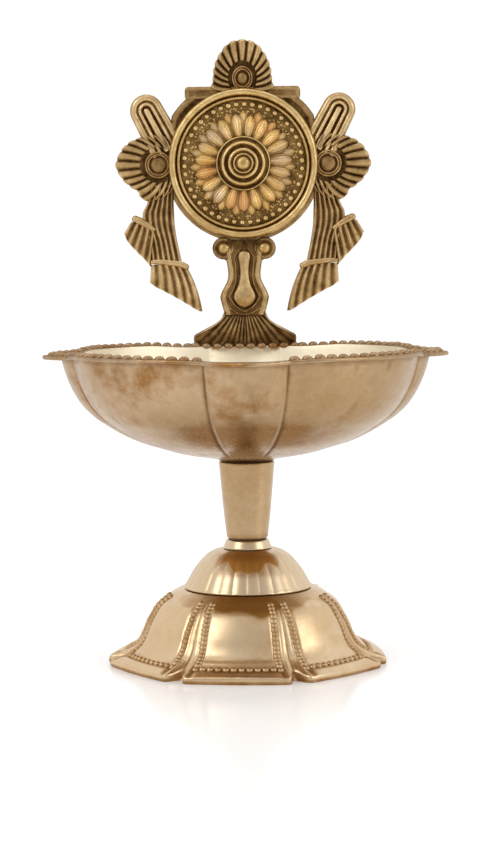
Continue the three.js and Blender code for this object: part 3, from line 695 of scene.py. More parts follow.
# ================================================================== bowl
QUARTER = math.pi / 2
SPOUT_TIP, FRONT_TIP, NOTCH_R, NOTCH, LOBE_R = 58.1, 57.2, 51.5, 13.3, 52.2
LANDING_Y, LANDING_HALF, LANDING = 57.2, 16.8, (15.6, 16.8, 18.95)


def spout_of(angle):
    k = np.round(angle / QUARTER)
    deg = np.degrees(np.abs(angle - k * QUARTER))
    return np.where(k == -2, 2, k), deg


def lobe_edge(deg):
    return LOBE_R - (LOBE_R - NOTCH_R) * ((deg - 45) / (45 - NOTCH)) ** 2


def flange_edge(angle):
    k, deg = spout_of(angle)
    tip = np.where(k == -1, FRONT_TIP, SPOUT_TIP)
    nx, ny = NOTCH_R * math.cos(math.radians(NOTCH)), NOTCH_R * math.sin(math.radians(NOTCH))
    rd = np.radians(deg)
    # the tip is blunted over its last degrees
    soft = np.sqrt(deg ** 2 + 0.55 ** 2) - 0.30
    sd = np.radians(soft)
    straight = tip * ny / (ny * np.cos(sd) + (tip - nx) * np.sin(sd)) + 0.6 * np.sin(np.pi * deg / NOTCH)
    out = np.where(deg > NOTCH, lobe_edge(deg), straight)
    back, side, root = LANDING
    cb, cs = LANDING_Y / math.cos(math.radians(back)), LANDING_HALF / math.sin(math.radians(side))
    rear = np.where(deg <= back, LANDING_Y / np.cos(rd),
                    np.where(deg <= side, cb + (cs - cb) * (deg - back) / (side - back),
                             np.where(deg <= root, LANDING_HALF / np.maximum(np.sin(rd), 1e-3), lobe_edge(deg))))
    return np.where(k == 1, rear, out)


def rim_lift(angle):
    """The rim waves a little: the lobes stand higher than the spouts."""
    k, deg = spout_of(angle)
    low = np.where(k == -1, 0.4, np.where(k == 1, 0.2, 0.3))
    return low + (1.0 - low) * np.where(k == 1, sstep(20, 38, deg), sstep(4, 26, deg))


def wall_share(angle):
    _, deg = spout_of(angle)
    spout = 1 - 0.052 * np.power(np.clip(deg / NOTCH, 0, 1), 1.8)
    lobe = 0.972 - 0.024 * ((deg - 45) / (45 - NOTCH)) ** 2
    return np.where(deg <= NOTCH, spout, lobe)


angles = np.concatenate([k * QUARTER + np.radians(np.concatenate([np.arange(-45, 45, 0.5), [-13.3, 13.3]])) for k in range(4)])
angles = np.unique(np.round(np.concatenate([angles, QUARTER + np.radians([-18.95, -16.8, -15.6, 15.6, 16.8, 18.95])]), 6))
angles = (angles + math.pi) % TAU - math.pi
angles = np.sort(angles)
wall_out = curve([(7.75, 56.5), (8.3, 56.75), (9.9, 57.2), (13.4, 57.85), (17, 58.4), (21, 59.2), (25, 60.3), (29, 61.5), (32.8, 63.0), (36.5, 64.9), (39.9, 67.0), (43.3, 69.3), (46.7, 72.7),
                  (49.0, 76.2), (50.35, 78.9), (51.3, 81.4), (51.95, 83.6), (52.4, 85.55)], per=4)
wall_in = curve([(50.95, 86.8), (50.65, 86.5), (50.3, 85.2), (49.7, 81.8), (48.7, 79.0), (47.5, 76.7), (45.3, 73.7), (42.2, 70.7), (39.0, 68.4), (32.0, 64.7), (24.6, 62.1),
                 (16.5, 60.75), (9.0, 60.4), (3.9, 60.4)], per=4)
share = wall_share(angles)[:, None]
_, spout_deg = spout_of(angles)
near_crease = (spout_deg - NOTCH)[:, None]
lift = rim_lift(angles)[:, None]


def lifted(z):
    return z + lift * sstep(68, 85.6, z)


def walls(line, outside):
    r = line[:, 0][None]
    w = np.clip((r - 6) / 20, 0, 1)
    out = r * (1 - (1 - share) * w)
    if outside:
        # a fine groove down the crease between two light raised lines
        deep = sstep(11, 26, r)
        arc = near_crease * math.pi / 180 * out
        out = out - deep * (0.16 * bump(arc, 0, 0.36)) + deep * 0.10 * (bump(arc, 1.15, 0.5) + bump(arc, -1.15, 0.5))
    return around(out, lifted(np.broadcast_to(line[:, 1], out.shape)), angles), out


p_wall, r_wall = walls(wall_out, True)
p_inner, _ = walls(wall_in, False)
edge = flange_edge(angles)[:, None]
rim_line = np.array([(-1.2, 85.55), (-0.45, 85.6), (-0.14, 85.74), (0.0, 86.1), (-0.05, 86.45), (-0.22, 86.7), (-0.55, 86.8), (-1.6, 86.8)])
r_rim = np.maximum(edge + rim_line[:, 0][None], r_wall[:, -1:] + 0.05)
p_rim = around(r_rim, rim_line[:, 1][None] + lift, angles)
r_mm = wall_out[:, 0][None]
arc = near_crease * math.pi / 180 * r_wall
at_front = (spout_of(angles)[0] == -1)[:, None]
stain_wall = np.where(at_front, 0.42, 0.22) * bump(arc, 0, 0.40) * sstep(12, 26, r_mm) + 0.24 * bump(arc, 0, 2.4) * sstep(12, 30, r_mm)
# Darker down the middle of each spout's gore, on the upper wall: a painted reflection.
gore = np.exp(-(spout_deg[:, None] / 9.0) ** 2)
stain_wall = np.maximum(stain_wall, (0.10 + 0.16 * gore) * sstep(30, 46, r_mm))
streak_rng = np.random.default_rng(23)
streaks = np.zeros_like(stain_wall)
for place, wide, low, deep in zip(streak_rng.uniform(-math.pi, math.pi, 46), streak_rng.uniform(0.008, 0.05, 46), streak_rng.uniform(73, 82, 46), streak_rng.uniform(0.12, 0.42, 46)):
    off = (angles - place + math.pi) % TAU - math.pi
    streaks = np.maximum(streaks, deep * np.exp(-(off / wide) ** 2)[:, None] * sstep(low, 84.5, wall_out[:, 1])[None])
stain_wall = np.maximum(stain_wall, streaks)
# A dark band along the top of the wall, just under the flange: painted shadow.
stain_wall = np.maximum(stain_wall, 0.42 * sstep(83.4, 85.4, wall_out[:, 1])[None] * np.ones_like(r_wall))
# Darker at the foot of the bowl, where it meets the stem.
stain_wall = np.maximum(stain_wall, 0.35 * sstep(57.9, 56.7, wall_out[:, 1])[None] * np.ones_like(r_wall))
# Along the rim's profile: the underside is dark, painted shadow; the top between the beads is darker, patina and
# painted shade; the bare front spout is kept lighter.
stain_rim = np.broadcast_to(np.array([0.8, 0.6, 0.36, 0.18, 0.24, 0.5, 0.85, 0.8])[None], r_rim.shape)
bare = (spout_of(angles)[0] == -1) & (spout_deg < NOTCH - 0.5)
stain_rim = np.where(bare[:, None], stain_rim * 0.35, stain_rim)
stain_in = 0.25 * bump(near_crease, 0, 1.2) * np.ones((1, len(wall_in))) + 0.3 * (np.arange(len(wall_in)) < 2)[None]
bowl = Form()
# The inner wall below the lip is set to 1: the painted pale sheen goes there.
wear_all = np.concatenate([np.full(p_wall.shape[:2], 0.5), np.full(p_rim.shape[:2], 0.5), np.where((np.arange(len(wall_in)) > 3)[None], 1.0, 0.5) * np.ones((len(angles), 1))], axis=1)
bowl.turned(np.concatenate([p_wall, p_rim, p_inner], axis=1), False, wear_all, np.concatenate([stain_wall, stain_rim, stain_in], axis=1))


def offset_inwards(line, by):
    """Moves a plan line towards the axis, square to itself."""
    t = np.gradient(line, axis=0)
    t /= np.linalg.norm(t, axis=1)[:, None]
    n = np.stack([-t[:, 1], t[:, 0]], axis=1)
    n *= np.sign(-(n * line).sum(axis=1))[:, None]
    return line + n * by


def plan(a0, a1, count=160):
    a = np.radians(np.linspace(a0, a1, count))
    e = flange_edge((a + math.pi) % TAU - math.pi)
    return np.stack([e * np.cos(a), e * np.sin(a)], axis=1)


BEAD_IN, PITCH = 1.62, 3.42
rows = []
for k in (0, 2):                                            # side spouts, both edges
    for s in (-1, 1):
        line = offset_inwards(plan(k * 90 + s * 1.0, k * 90 + s * 12.6), BEAD_IN)
        rows.append(spaced(line, PITCH, start=2.9, end=0.2))
for k in range(4):                                          # lobes
    a0, a1 = k * 90 + 14.4, k * 90 + 75.6
    if k == 0:
        a1 = 90 - 19.9
    if k == 1:
        a0 = 90 + 19.9
    rows.append(spaced(offset_inwards(plan(a0, a1), BEAD_IN), PITCH, start=0.4, end=0.4))
rows.append(spaced(np.array([(-15.2, 47.3), (15.2, 47.3)]), PITCH))
rng = np.random.default_rng(11)
for line in rows:
    n = len(line)
    up = rim_lift(np.arctan2(line[:, 1], line[:, 0]))
    c = np.c_[line, 86.82 + up + rng.uniform(-0.08, 0.08, n)]
    t = np.gradient(line, axis=0) if n > 1 else np.array([[1.0, 0]])
    bowl.beads(c, [0, 0, 1], 1.42 + rng.uniform(-0.07, 0.07, n), 0.98 + rng.uniform(-0.06, 0.06, n), around=16, rings=8,
               along=np.c_[t, np.zeros(n)], stretch=1.06, stain=0.42)
bowl.object("oil_bowl", "bowl", "bowl", "polished_brass", BRASS_BOWL, sharp=46)

# ================================================================== emblem
WZ = 142.5
PLATE, BACK = 50.5, 53.5

# wheel: rolled rim, inner ring, sunk field
wheel = Form()
wheel_line = curve([(2.5, 0.0), (22.55, 0.0), (22.8, 0.35), (22.85, 1.3), (22.55, 2.1), (22.05, 2.55), (21.5, 2.62), (20.95, 2.35), (20.6, 1.75), (20.42, 1.30),
                    (20.25, 1.55), (20.05, 2.0), (19.75, 2.12), (19.45, 1.95), (19.22, 1.45), (18.95, 1.0), (15.0, 0.85), (8.2, 0.75), (2.5, 0.75)],
                   per=5, sharp=(0, 1, 9, 15, 16, 17, 18))
a = ring_points(240)
wr = wheel_line[:, 0]
w = np.interp(wheel_line[:, 1], [0.7, 1.3, 1.7, 2.2, 2.6], [0.26, 0.14, 0.52, 0.80, 0.84])
w = np.where(wr > 22.7, 0.5, w)
wheel.turned(around_y(wheel_line[:, 0], wheel_line[:, 1], a, 0, 50.2, WZ), True, w[None], 0.0)
field_y = 50.2 - 0.75
n = 46
a = ring_points(n, 0.04)
wheel.beads(np.stack([18.0 * np.cos(a), np.full(n, field_y), WZ + 18.0 * np.sin(a)], axis=1), [0, -1, 0],
            0.92 + rng.uniform(-0.05, 0.05, n), 0.95, wear=0.86, around=12, rings=7)
# small grains over the field, as left by the mould
gr = np.sqrt(rng.uniform(13.2 ** 2, 17.0 ** 2, 420))
ga = rng.uniform(0, TAU, 420)
wheel.beads(np.stack([gr * np.cos(ga), np.full(420, field_y + 0.05), WZ + gr * np.sin(ga)], axis=1), [0, -1, 0],
            rng.uniform(0.25, 0.5, 420), rng.uniform(0.25, 0.5, 420), wear=0.66, around=8, rings=4)
wheel.object("emblem_wheel_ring", "bowl", "emblem_wheel", "antique_brass", CAST_RIM)


def petal(form, angle, r0, r1, half, high, across=19, along=16, base=0.35, widest=0.55, keel=0.7):
    """A pointed petal with fine ribs, lying outwards at an angle from the wheel's centre."""
    u = np.linspace(0, 1, along)[:, None]
    v = np.linspace(-1, 1, across)[None, :]
    width = half * np.where(u < widest, base + (1 - base) * np.sin(np.pi / 2 * u / widest), np.cos(np.pi / 2 * np.clip((u - widest) / (1 - widest), 0, 1)) ** 0.72)
    width = np.maximum(width, 0.03)
    r = r0 + (r1 - r0) * u + 0 * v
    s = v * width
    ribs = np.cos(v * 3 * math.pi) ** 2
    h = high * (0.25 + keel * (1 - np.abs(v) ** 1.6) * 0.75 + 0.16 * ribs) * (0.55 + 0.45 * np.sin(np.pi * np.clip(u * 0.85 + 0.15, 0, 1)))
    ca, sa = math.cos(angle), math.sin(angle)
    x, z = r * ca - s * sa, WZ + r * sa + s * ca
    p = np.stack([x, field_y + 0.05 - h, z], axis=-1)
    wear = (0.34 + 0.5 * (1 - np.abs(v) ** 1.4) + 0.16 * ribs) * np.ones_like(u)
    wear = wear * (0.55 + 0.45 * np.sin(np.pi * np.clip(u + 0.06, 0, 1))) * (0.75 if keel < 0.5 else 1.0)
    form.slab(p, field_y + 0.3, wear)


petals = Form()
for k in range(19):
    ang = math.pi / 2 + (k + 0.5) * TAU / 19 + rng.uniform(-0.025, 0.025)
    mid = ang + TAU / 38
    # a back leaf shows between each two petals
    petal(petals, mid, 12.2, 16.7 + rng.uniform(-0.3, 0.3), 1.45, 0.95, base=0.6, widest=0.35, keel=0.45)
    petal(petals, ang, 8.4, 15.4 + rng.uniform(-0.3, 0.3), 2.0, 1.6 + rng.uniform(-0.12, 0.12), base=0.6, widest=0.60)
petals.object("emblem_petals", "bowl", "emblem_wheel", "antique_brass", PETAL)

# hub: turned rings round a knob, with its pin and the peened end behind
hub = Form()
hub_line = curve([(0.02, 4.6), (0.8, 4.52), (1.5, 4.2), (1.95, 3.65), (2.2, 3.05), (2.45, 3.1), (2.75, 3.35), (3.1, 3.1), (3.35, 2.7), (3.7, 3.0), (4.13, 3.36), (4.55, 3.15),
                  (4.95, 2.5), (5.4, 2.3), (5.75, 2.85), (6.24, 3.3), (6.7, 2.9), (7.1, 2.1), (7.6, 1.72), (7.85, 2.05), (8.1, 2.1), (8.3, 1.8), (8.35, 1.0),
                  (2.1, 1.0), (2.1, -3.6), (3.4, -3.6), (3.35, -4.1), (2.4, -4.6), (0.02, -4.75)], per=5, sharp=(22, 23, 24, 25))
a = ring_points(96)
h = hub_line[:, 1]
hub_wear = np.clip(0.48 + 1.0 * (h - np.convolve(np.pad(h, 12, mode="edge"), np.ones(25) / 25, mode="valid")), 0.05, 0.95)
hub_wear = np.where(h < 1.2, 0.4, hub_wear)
hub.turned(around_y(hub_line[:, 0], hub_line[:, 1], a, 0, 50.2, WZ), False, hub_wear[None], 0.0)
hub.object("emblem_hub_boss", "bowl", "emblem_hub", "antique_brass", CAST_RIM)

plate = Form()
# backing disc with a raised edge that shows round the wheel
disc_line = curve([(23.3, 3.0), (23.75, 2.9), (23.9, 2.6), (23.9, 0.35), (23.7, 0.05), (23.2, 0.0), (2.5, 0.0), (2.5, 3.0)], per=4, sharp=(5, 6, 7))
a = ring_points(200)
plate.turned(around_y(disc_line[:, 0], 3.0 - disc_line[:, 1], a, 0, BACK, WZ), True, 0.55, 0.0)


def shell(form, outline, eye, axis, spread, ribs, eye_r, eye_long, dome_r, rise=1.0, back=BACK, sweep=0.42):
    """A scallop shell: curved ribs that sweep round a ringed eye. axis is the angle that it points to."""
    nu, nv = 720, 40
    th = np.linspace(-math.pi, math.pi, nu, endpoint=False)          # angle from the shell's axis, at the edge
    r_out = ray_radius(outline, eye, axis + th)
    # ease the outline's corners, then scallop it, one scallop to a rib
    kernel = np.hanning(15)
    kernel /= kernel.sum()
    r_out = np.convolve(np.r_[r_out[-7:], r_out, r_out[:7]], kernel, mode="valid")
    limit = math.radians(spread)
    live = sstep(limit + 0.16, limit - 0.04, np.abs(th))
    phase = th / limit * ribs / 2 * math.pi                          # ribs ridges across the spread
    r_out = r_out + live * 0.42 * (np.abs(np.cos(phase)) ** 0.8 - 0.62)
    lean = sweep * th * sstep(math.pi, math.radians(105), np.abs(th))
    t = np.linspace(0, 1, nv)[None, :]
    core = eye_r * 1.12
    # distance from the eye; the eye may be longer along the axis
    inner_th = th + lean
    stretch = eye_long / eye_r
    r_in = core * stretch / np.sqrt((stretch * np.sin(inner_th)) ** 2 + np.cos(inner_th) ** 2)
    r = r_in[:, None] + (r_out - r_in)[:, None] * t
    ang = axis + (inner_th[:, None] + (th - inner_th)[:, None] * t ** 0.8)
    main = (np.abs(np.cos(phase)) ** 0.8)[:, None]
    grow = sstep(0.0, 0.16, t) * live[:, None]
    crown = 0.62 * np.sin(np.pi * np.clip(0.12 + 0.8 * t, 0, 1))
    edge_drop = sstep(1.0, 0.90, t) ** 0.6
    h = 0.15 + rise * (crown + 0.82 * main * grow) * (0.25 + 0.75 * edge_drop)
    x, z = eye[0] + r * np.cos(ang), eye[1] + r * np.sin(ang)
    wear = 0.14 + 0.56 * main ** 1.5 * grow + 0.16 * (1 - edge_drop)
    form.fan(np.stack([x, PLATE - h, z], axis=-1), back, wear)
    # the eye: two rings and a dome
    line = curve([(dome_r * 0.02, 1.55), (dome_r * 0.45, 1.46), (dome_r * 0.8, 1.2), (dome_r, 0.85), (dome_r + 0.22, 0.62), (dome_r + 0.5, 0.95),
                  (dome_r + 0.85, 1.42), (dome_r + 1.15, 1.05), (dome_r + 1.3, 1.0), (dome_r + 1.6, 1.36), (dome_r + 1.95, 0.95), (dome_r + 2.1, 0.2), (dome_r + 2.1, -1.0), (dome_r * 0.02, -1.0)],
                 per=4, sharp=(11, 12))
    a = ring_points(96)
    scale = 1 + (stretch - 1) * 0.9
    p = around_y(line[:, 0] * eye_r / (dome_r + 2.1), line[:, 1] * rise, a, 0, PLATE, 0)
    px, pz = p[..., 0], p[..., 2]
    ca, sa = math.cos(axis), math.sin(axis)
    e = np.stack([eye[0] + px * scale * ca - pz * sa, p[..., 1], eye[1] + px * scale * sa + pz * ca], axis=-1)
    ew = np.clip(0.34 + 0.62 * (line[:, 1] - 0.72), 0.14, 0.78)
    ew = np.where(line[:, 0] < dome_r * 0.9, 0.48, ew)
    form.turned(e, False, ew[None])


SHELL = [(-25.21, 151.61), (-28.58, 151.15), (-31.0, 150.75), (-33.1, 150.1), (-34.75, 149.3), (-36.0, 148.2), (-36.95, 147.2), (-37.75, 145.9), (-38.45, 144.5),
         (-38.90, 143.2), (-38.95, 141.9), (-38.65, 140.8), (-37.85, 139.5), (-36.8, 137.8), (-35.3, 136.4), (-33.6, 135.1), (-31.96, 134.2), (-31.6, 132.4),
         (-29.2, 131.3), (-25.6, 131.6), (-21.5, 134.5), (-20.0, 149.3)]
for s in (-1, 1):
    outline = SHELL if s < 0 else mirror_x(SHELL)
    shell(plate, outline, (s * 25.95, 142.3), math.pi if s < 0 else 0.0, 116, 17, 4.3, 4.3, 2.3, rise=1.0, sweep=0.52, back=BACK - 0.10)
CREST = [(-9.6, 165.4), (-8.95, 168.0), (-8.8, 170.6), (-8.3, 172.7), (-7.6, 174.5), (-6.67, 176.0), (-5.54, 177.6), (-4.4, 178.7), (-3.1, 179.4), (-1.9, 179.75), (-0.6, 179.95),
         (0.6, 179.95), (1.9, 179.75), (3.1, 179.4), (4.4, 178.7), (5.54, 177.6), (6.67, 176.0), (7.6, 174.5), (8.3, 172.7), (8.8, 170.6), (8.95, 168.0), (9.6, 165.4), (6.0, 163.2), (-6.0, 163.2)]
shell(plate, CREST, (0, 168.3), math.pi / 2, 112, 15, 3.35, 4.0, 1.75, rise=1.15, sweep=0.36, back=BACK - 0.12)


def loop(form, top, low, half, back=BACK):
    """A bow loop: a long rounded form with an outer band, an inner cord and a keel."""
    top, low = np.array(top, float), np.array(low, float)
    d = (low - top) / np.linalg.norm(low - top)
    n = np.array([-d[1], d[0]])
    length = np.linalg.norm(low - top)
    cap = np.linspace(math.pi / 2, -math.pi / 2, 40)
    side = np.linspace(0, 1, 40)[1:]
    edge_pts, spine = [], []
    for s in side[::-1]:
        edge_pts.append(top + d * s * length + n * (half + 0.5 * s))
        spine.append(top + d * s * length)
    for c in cap:
        edge_pts.append(top - d * math.cos(c) * half + n * math.sin(c) * half)
        spine.append(top)
    for s in side:
        edge_pts.append(top + d * s * length - n * (half + 0.5 * s))
        spine.append(top + d * s * length)
    edge_pts, spine = np.array(edge_pts), np.array(spine)
    t = np.linspace(0, 1, 34)[None, :, None]
    grid = edge_pts[:, None] + (spine - edge_pts)[:, None] * t
    dist = (t[0, :, 0] * half)[None, :]
    prof = curve([(0, 0.05), (0.25, 0.55), (0.9, 1.0), (1.55, 0.95), (1.95, 0.6), (2.12, 0.28), (2.3, 0.5), (2.6, 1.0), (2.95, 1.18), (3.3, 0.95), (3.55, 0.4), (3.75, 0.12),
                  (3.95, 0.35), (4.25, 0.92), (4.9, 1.2)], per=4)
    h = np.interp(dist * 4.9 / half, prof[:, 0], prof[:, 1]) * np.ones((len(edge_pts), 1))
    wear = np.interp(h, [0.1, 0.45, 0.95, 1.2], [0.10, 0.42, 0.84, 0.92])
    wear = np.where(dist < 0.2, 0.5, wear)
    form.slab(np.stack([grid[..., 0], PLATE - h, grid[..., 1]], axis=-1), back, wear)


for s in (-1, 1):
    loop(plate, (s * 29.3, 158.7), (s * 23.0, 146.6), 5.05, back=BACK - 0.22)


def strip(form, left, right, ridges, rise, base_y, back, rows=60, cols=72, ridge_width=0.34, ends=(0.0, 0.0), dish=0.0, minor=0.0):
    """A fluted ribbon between two side lines. ridges are places across it, from 0 to 1."""
    left, right = resample(curve(left, per=8), rows), resample(curve(right, per=8), rows)
    t = np.linspace(0, 1, cols)[None, :]
    x = left[:, :1] + (right - left)[:, :1] * t
    z = left[:, 1:] + (right - left)[:, 1:] * t
    width = np.linalg.norm(right - left, axis=1)[:, None]
    gap = np.diff(sorted(ridges)).mean() if len(ridges) > 1 else 0.3
    r = np.zeros_like(x)
    for c in ridges:
        r = np.maximum(r, bump(t, c, gap * ridge_width) * np.ones_like(x))
    fine = np.zeros_like(x)
    if minor:
        for c0, c1 in zip(sorted(ridges)[:-1], sorted(ridges)[1:]):
            fine = np.maximum(fine, minor * bump(t, (c0 + c1) / 2, gap * ridge_width * 0.6))
    edge_t = np.minimum(t, 1 - t) * width
    round_off = sstep(0.0, 0.45, edge_t)
    u = np.linspace(0, 1, rows)[:, None]
    swell = ends[0] * (1 - u) + ends[1] * u
    h = (0.25 + rise * (np.maximum(r, fine) * 0.8 + 0.2) + swell + dish * np.sin(np.pi * t)) * (0.25 + 0.75 * round_off)
    wear = 0.12 + 0.60 * r + 0.4 * fine + 0.2 * (1 - round_off)
    form.slab(np.stack([x, base_y - h, z], axis=-1), back, wear)


def at(s, pts):
    return [(s * x, z) for x, z in pts]


for s in (-1, 1):
    m = -s       # the lists below are for the left-hand ribbon
    main_l = at(m, [(-28.2, 136.2), (-28.75, 133.2), (-29.6, 130.4), (-30.9, 127.6), (-30.6, 123.6), (-29.0, 118.9), (-28.3, 113.0)])
    main_r = at(m, [(-21.3, 136.2), (-21.45, 131.2), (-21.35, 127.4), (-21.2, 123.8), (-20.45, 118.9), (-19.2, 113.0)])
    strip(plate, main_l, main_r, (0.05, 0.23, 0.41, 0.59, 0.77, 0.95), 0.95, PLATE + 0.15, BACK - 0.32, rows=90, cols=110, ridge_width=0.36, dish=0.25)
    f1_l = at(m, [(-34.2, 125.1), (-34.9, 123.6), (-36.15, 121.7)])
    f1_r = at(m, [(-27.2, 122.3), (-27.7, 117.6), (-28.6, 112.2)])
    # the fringe below the first band fans out to a slanting hem
    top = resample(np.array(at(m, [(-34.3, 125.4), (-27.2, 122.2)])), 2)
    hem = resample(curve(at(m, [(-36.7, 121.5), (-35.6, 119.1), (-33.2, 116.3), (-30.8, 113.9), (-28.7, 111.4)]), per=8), 80)
    head = resample(curve(at(m, [(-34.5, 125.2), (-31.8, 124.2), (-27.2, 121.9)]), per=8), 80)
    u = np.linspace(0, 1, 46)[:, None]
    t = np.linspace(0, 1, 80)[None, :]
    gx = head[None, :, 0] + (hem - head)[None, :, 0] * u
    gz = head[None, :, 1] + (hem - head)[None, :, 1] * u
    ridge = np.zeros_like(gx)
    for c in (0.05, 0.27, 0.49, 0.71, 0.93):
        ridge = np.maximum(ridge, bump(t, c, 0.078) * np.ones_like(gx))
    edge_t = np.minimum(np.minimum(t * 12, (1 - t) * 12), (1 - u) * 9)
    ro = sstep(0, 0.5, edge_t)
    h = (0.35 + 0.85 * ridge + 0.35 * np.sin(np.pi * np.clip(u, 0, 1))) * (0.3 + 0.7 * ro)
    plate.slab(np.stack([gx, PLATE - 0.15 - h, gz], axis=-1), BACK - 0.42, 0.14 + 0.62 * ridge + 0.15 * (1 - ro))
    # the lower fringe
    head = resample(curve(at(m, [(-28.6, 112.0), (-25.6, 112.0), (-22.0, 111.6), (-17.3, 110.6)]), per=8), 96)
    hem = resample(curve(at(m, [(-28.9, 106.4), (-27.0, 105.0), (-24.6, 103.8), (-19.1, 100.7), (-14.6, 97.9), (-13.0, 97.5)]), per=8), 96)
    bow = np.array(at(m, [(0.0, 0.0), (0.55, 0.35)]))
    u = np.linspace(0, 1, 56)[:, None]
    t = np.linspace(0, 1, 96)[None, :]
    gx = head[None, :, 0] + (hem - head)[None, :, 0] * u + bow[1, 0] * 4 * u * (1 - u) * t * 0.9
    gz = head[None, :, 1] + (hem - head)[None, :, 1] * u + bow[1, 1] * 4 * u * (1 - u) * t
    ridge = np.zeros_like(gx)
    for c in (0.05, 0.23, 0.41, 0.59, 0.77, 0.94):
        ridge = np.maximum(ridge, bump(t, c, 0.062) * np.ones_like(gx))
    edge_t = np.minimum(np.minimum(t * 14, (1 - t) * 14), (1 - u) * 12)
    ro = sstep(0, 0.5, edge_t)
    h = (0.30 + 0.80 * ridge + 0.35 * np.sin(np.pi * np.clip(u * 0.9 + 0.05, 0, 1))) * (0.3 + 0.7 * ro)
    plate.slab(np.stack([gx, PLATE - 0.1 - h, gz], axis=-1), BACK - 0.52, 0.16 + 0.64 * ridge + 0.15 * (1 - ro))
    # the two tied bands
    b1 = resample(curve(at(m, [(-33.1, 125.9), (-31.0, 124.9), (-27.2, 122.5)]), per=8), 24)
    rad = np.interp(np.linspace(0, 1, 24), [0, 0.06, 0.2, 0.7, 1], [0.75, 1.15, 1.2, 0.95, 0.45])
    plate.tube(np.c_[b1[:, 0], np.full(24, PLATE - 0.75), b1[:, 1]], rad, wear=0.78)
    plate.beads([[m * -33.1, PLATE - 0.75, 125.9]], [0, -1, 0], 1.14, 1.14, around=16, rings=9, wear=0.8)
    b2 = resample(curve(at(m, [(-28.6, 112.85), (-25.9, 112.85), (-22.9, 112.5), (-19.8, 112.1), (-17.9, 111.3)]), per=8), 26)
    rad = np.interp(np.linspace(0, 1, 26), [0, 0.3, 0.8, 0.93, 1], [0.6, 0.88, 1.0, 1.02, 0.9])
    plate.tube(np.c_[b2[:, 0], np.full(26, PLATE - 0.8), b2[:, 1]], rad, wear=0.8)
    plate.beads([[m * -17.85, PLATE - 0.8, 111.25]], [0, -1, 0], 0.98, 0.98, around=16, rings=9, wear=0.8)

# cross bar behind the wheel's top, with a raised border
bar_t = np.linspace(-1, 1, 120)
bar_v = np.linspace(0, 1, 30)
bx = 17.6 * bar_t[:, None] * np.ones((1, 30))
taper = np.where(np.abs(bar_t) > 0.93, np.sqrt(np.clip(1 - ((np.abs(bar_t) - 0.93) / 0.07) ** 2, 0, 1)) * 0.55 + 0.45, 1.0)[:, None]
bz = 163.85 + (bar_v[None, :] - 0.5) * 4.1 * taper
edge_d = np.minimum(np.minimum(bar_v[None, :] * 4.1, (1 - bar_v)[None, :] * 4.1) * taper, (1 - np.abs(bar_t))[:, None] * 17.6)
prof = curve([(0, 0.05), (0.2, 0.45), (0.6, 0.8), (1.1, 0.72), (1.4, 0.52), (2.0, 0.6)], per=4)
bh = np.interp(edge_d, prof[:, 0], prof[:, 1])
plate.slab(np.stack([bx, PLATE - bh, bz], axis=-1), BACK - 0.62, np.interp(bh, [0, 0.3, 0.6, 0.85], [0.35, 0.3, 0.45, 0.68]))

# shoulders between the bar and the shells: a raised edge outside a sunk panel
for s in (-1, 1):
    an = np.radians(np.linspace(121, 157, 60))
    rr = np.linspace(21.5, 26.2, 26)
    cut = np.interp(np.degrees(an), [121, 125, 132, 139, 146, 150, 157], [25.2, 26.15, 26.2, 26.2, 26.1, 25.3, 24.4])
    t = np.linspace(0, 1, 26)[None, :]
    r = 21.5 + (cut[:, None] - 21.5) * t
    ed = (1 - t) * (cut[:, None] - 21.5)
    h = np.interp(ed, [0, 0.2, 0.7, 1.3, 1.9, 2.3, 3], [0.0, 0.35, 0.66, 0.72, 0.5, 0.15, 0.1])
    plate.slab(np.stack([-s * r * np.cos(an)[:, None], PLATE - h, WZ + r * np.sin(an)[:, None]], axis=-1), BACK - 0.72,
               np.interp(h, [0.1, 0.35, 0.7], [0.14, 0.32, 0.5]))

# tail behind the bracket's ears, which the rivets pass through
zz = np.linspace(112.8, 125.0, 44)
half_w = np.interp(zz, [112.8, 114.6, 116.8, 118.6, 120.0, 125.0], [5.4, 7.7, 8.9, 8.5, 7.7, 7.5])
tt = np.linspace(-1, 1, 40)
tx = half_w[:, None] * tt[None, :]
tz = np.broadcast_to(zz[:, None], tx.shape)
plate.slab(np.stack([tx, np.full(tx.shape, 53.82), tz], axis=-1), 55.6, 0.3)
plate.slab(np.stack([tx[26:] * 0.95, np.full(tx[26:].shape, 52.9), tz[26:]], axis=-1), 54.4, 0.25)
plate.object("emblem_casting", "bowl", "emblem_plate", "antique_brass", CAST)

# bracket: neck with a raised shield, two ears and a fanned foot
bracket = Form()
NECK = curve([(-6.0, 119.4), (-6.0, 116.0), (-5.55, 113.3), (-5.2, 111.4), (-4.95, 109.0), (-5.2, 107.0), (-6.1, 105.1), (-7.0, 103.4), (-7.5, 101.85), (-7.1, 100.0), (-6.6, 98.2), (-6.25, 96.9)], per=8, sharp=(8,))
rows, cols = 190, 120
nz = np.linspace(119.3, 96.4, rows)
half_w = -np.interp(nz[::-1], NECK[::-1, 1], NECK[::-1, 0])[::-1]
t = np.linspace(-1, 1, cols)[None, :]
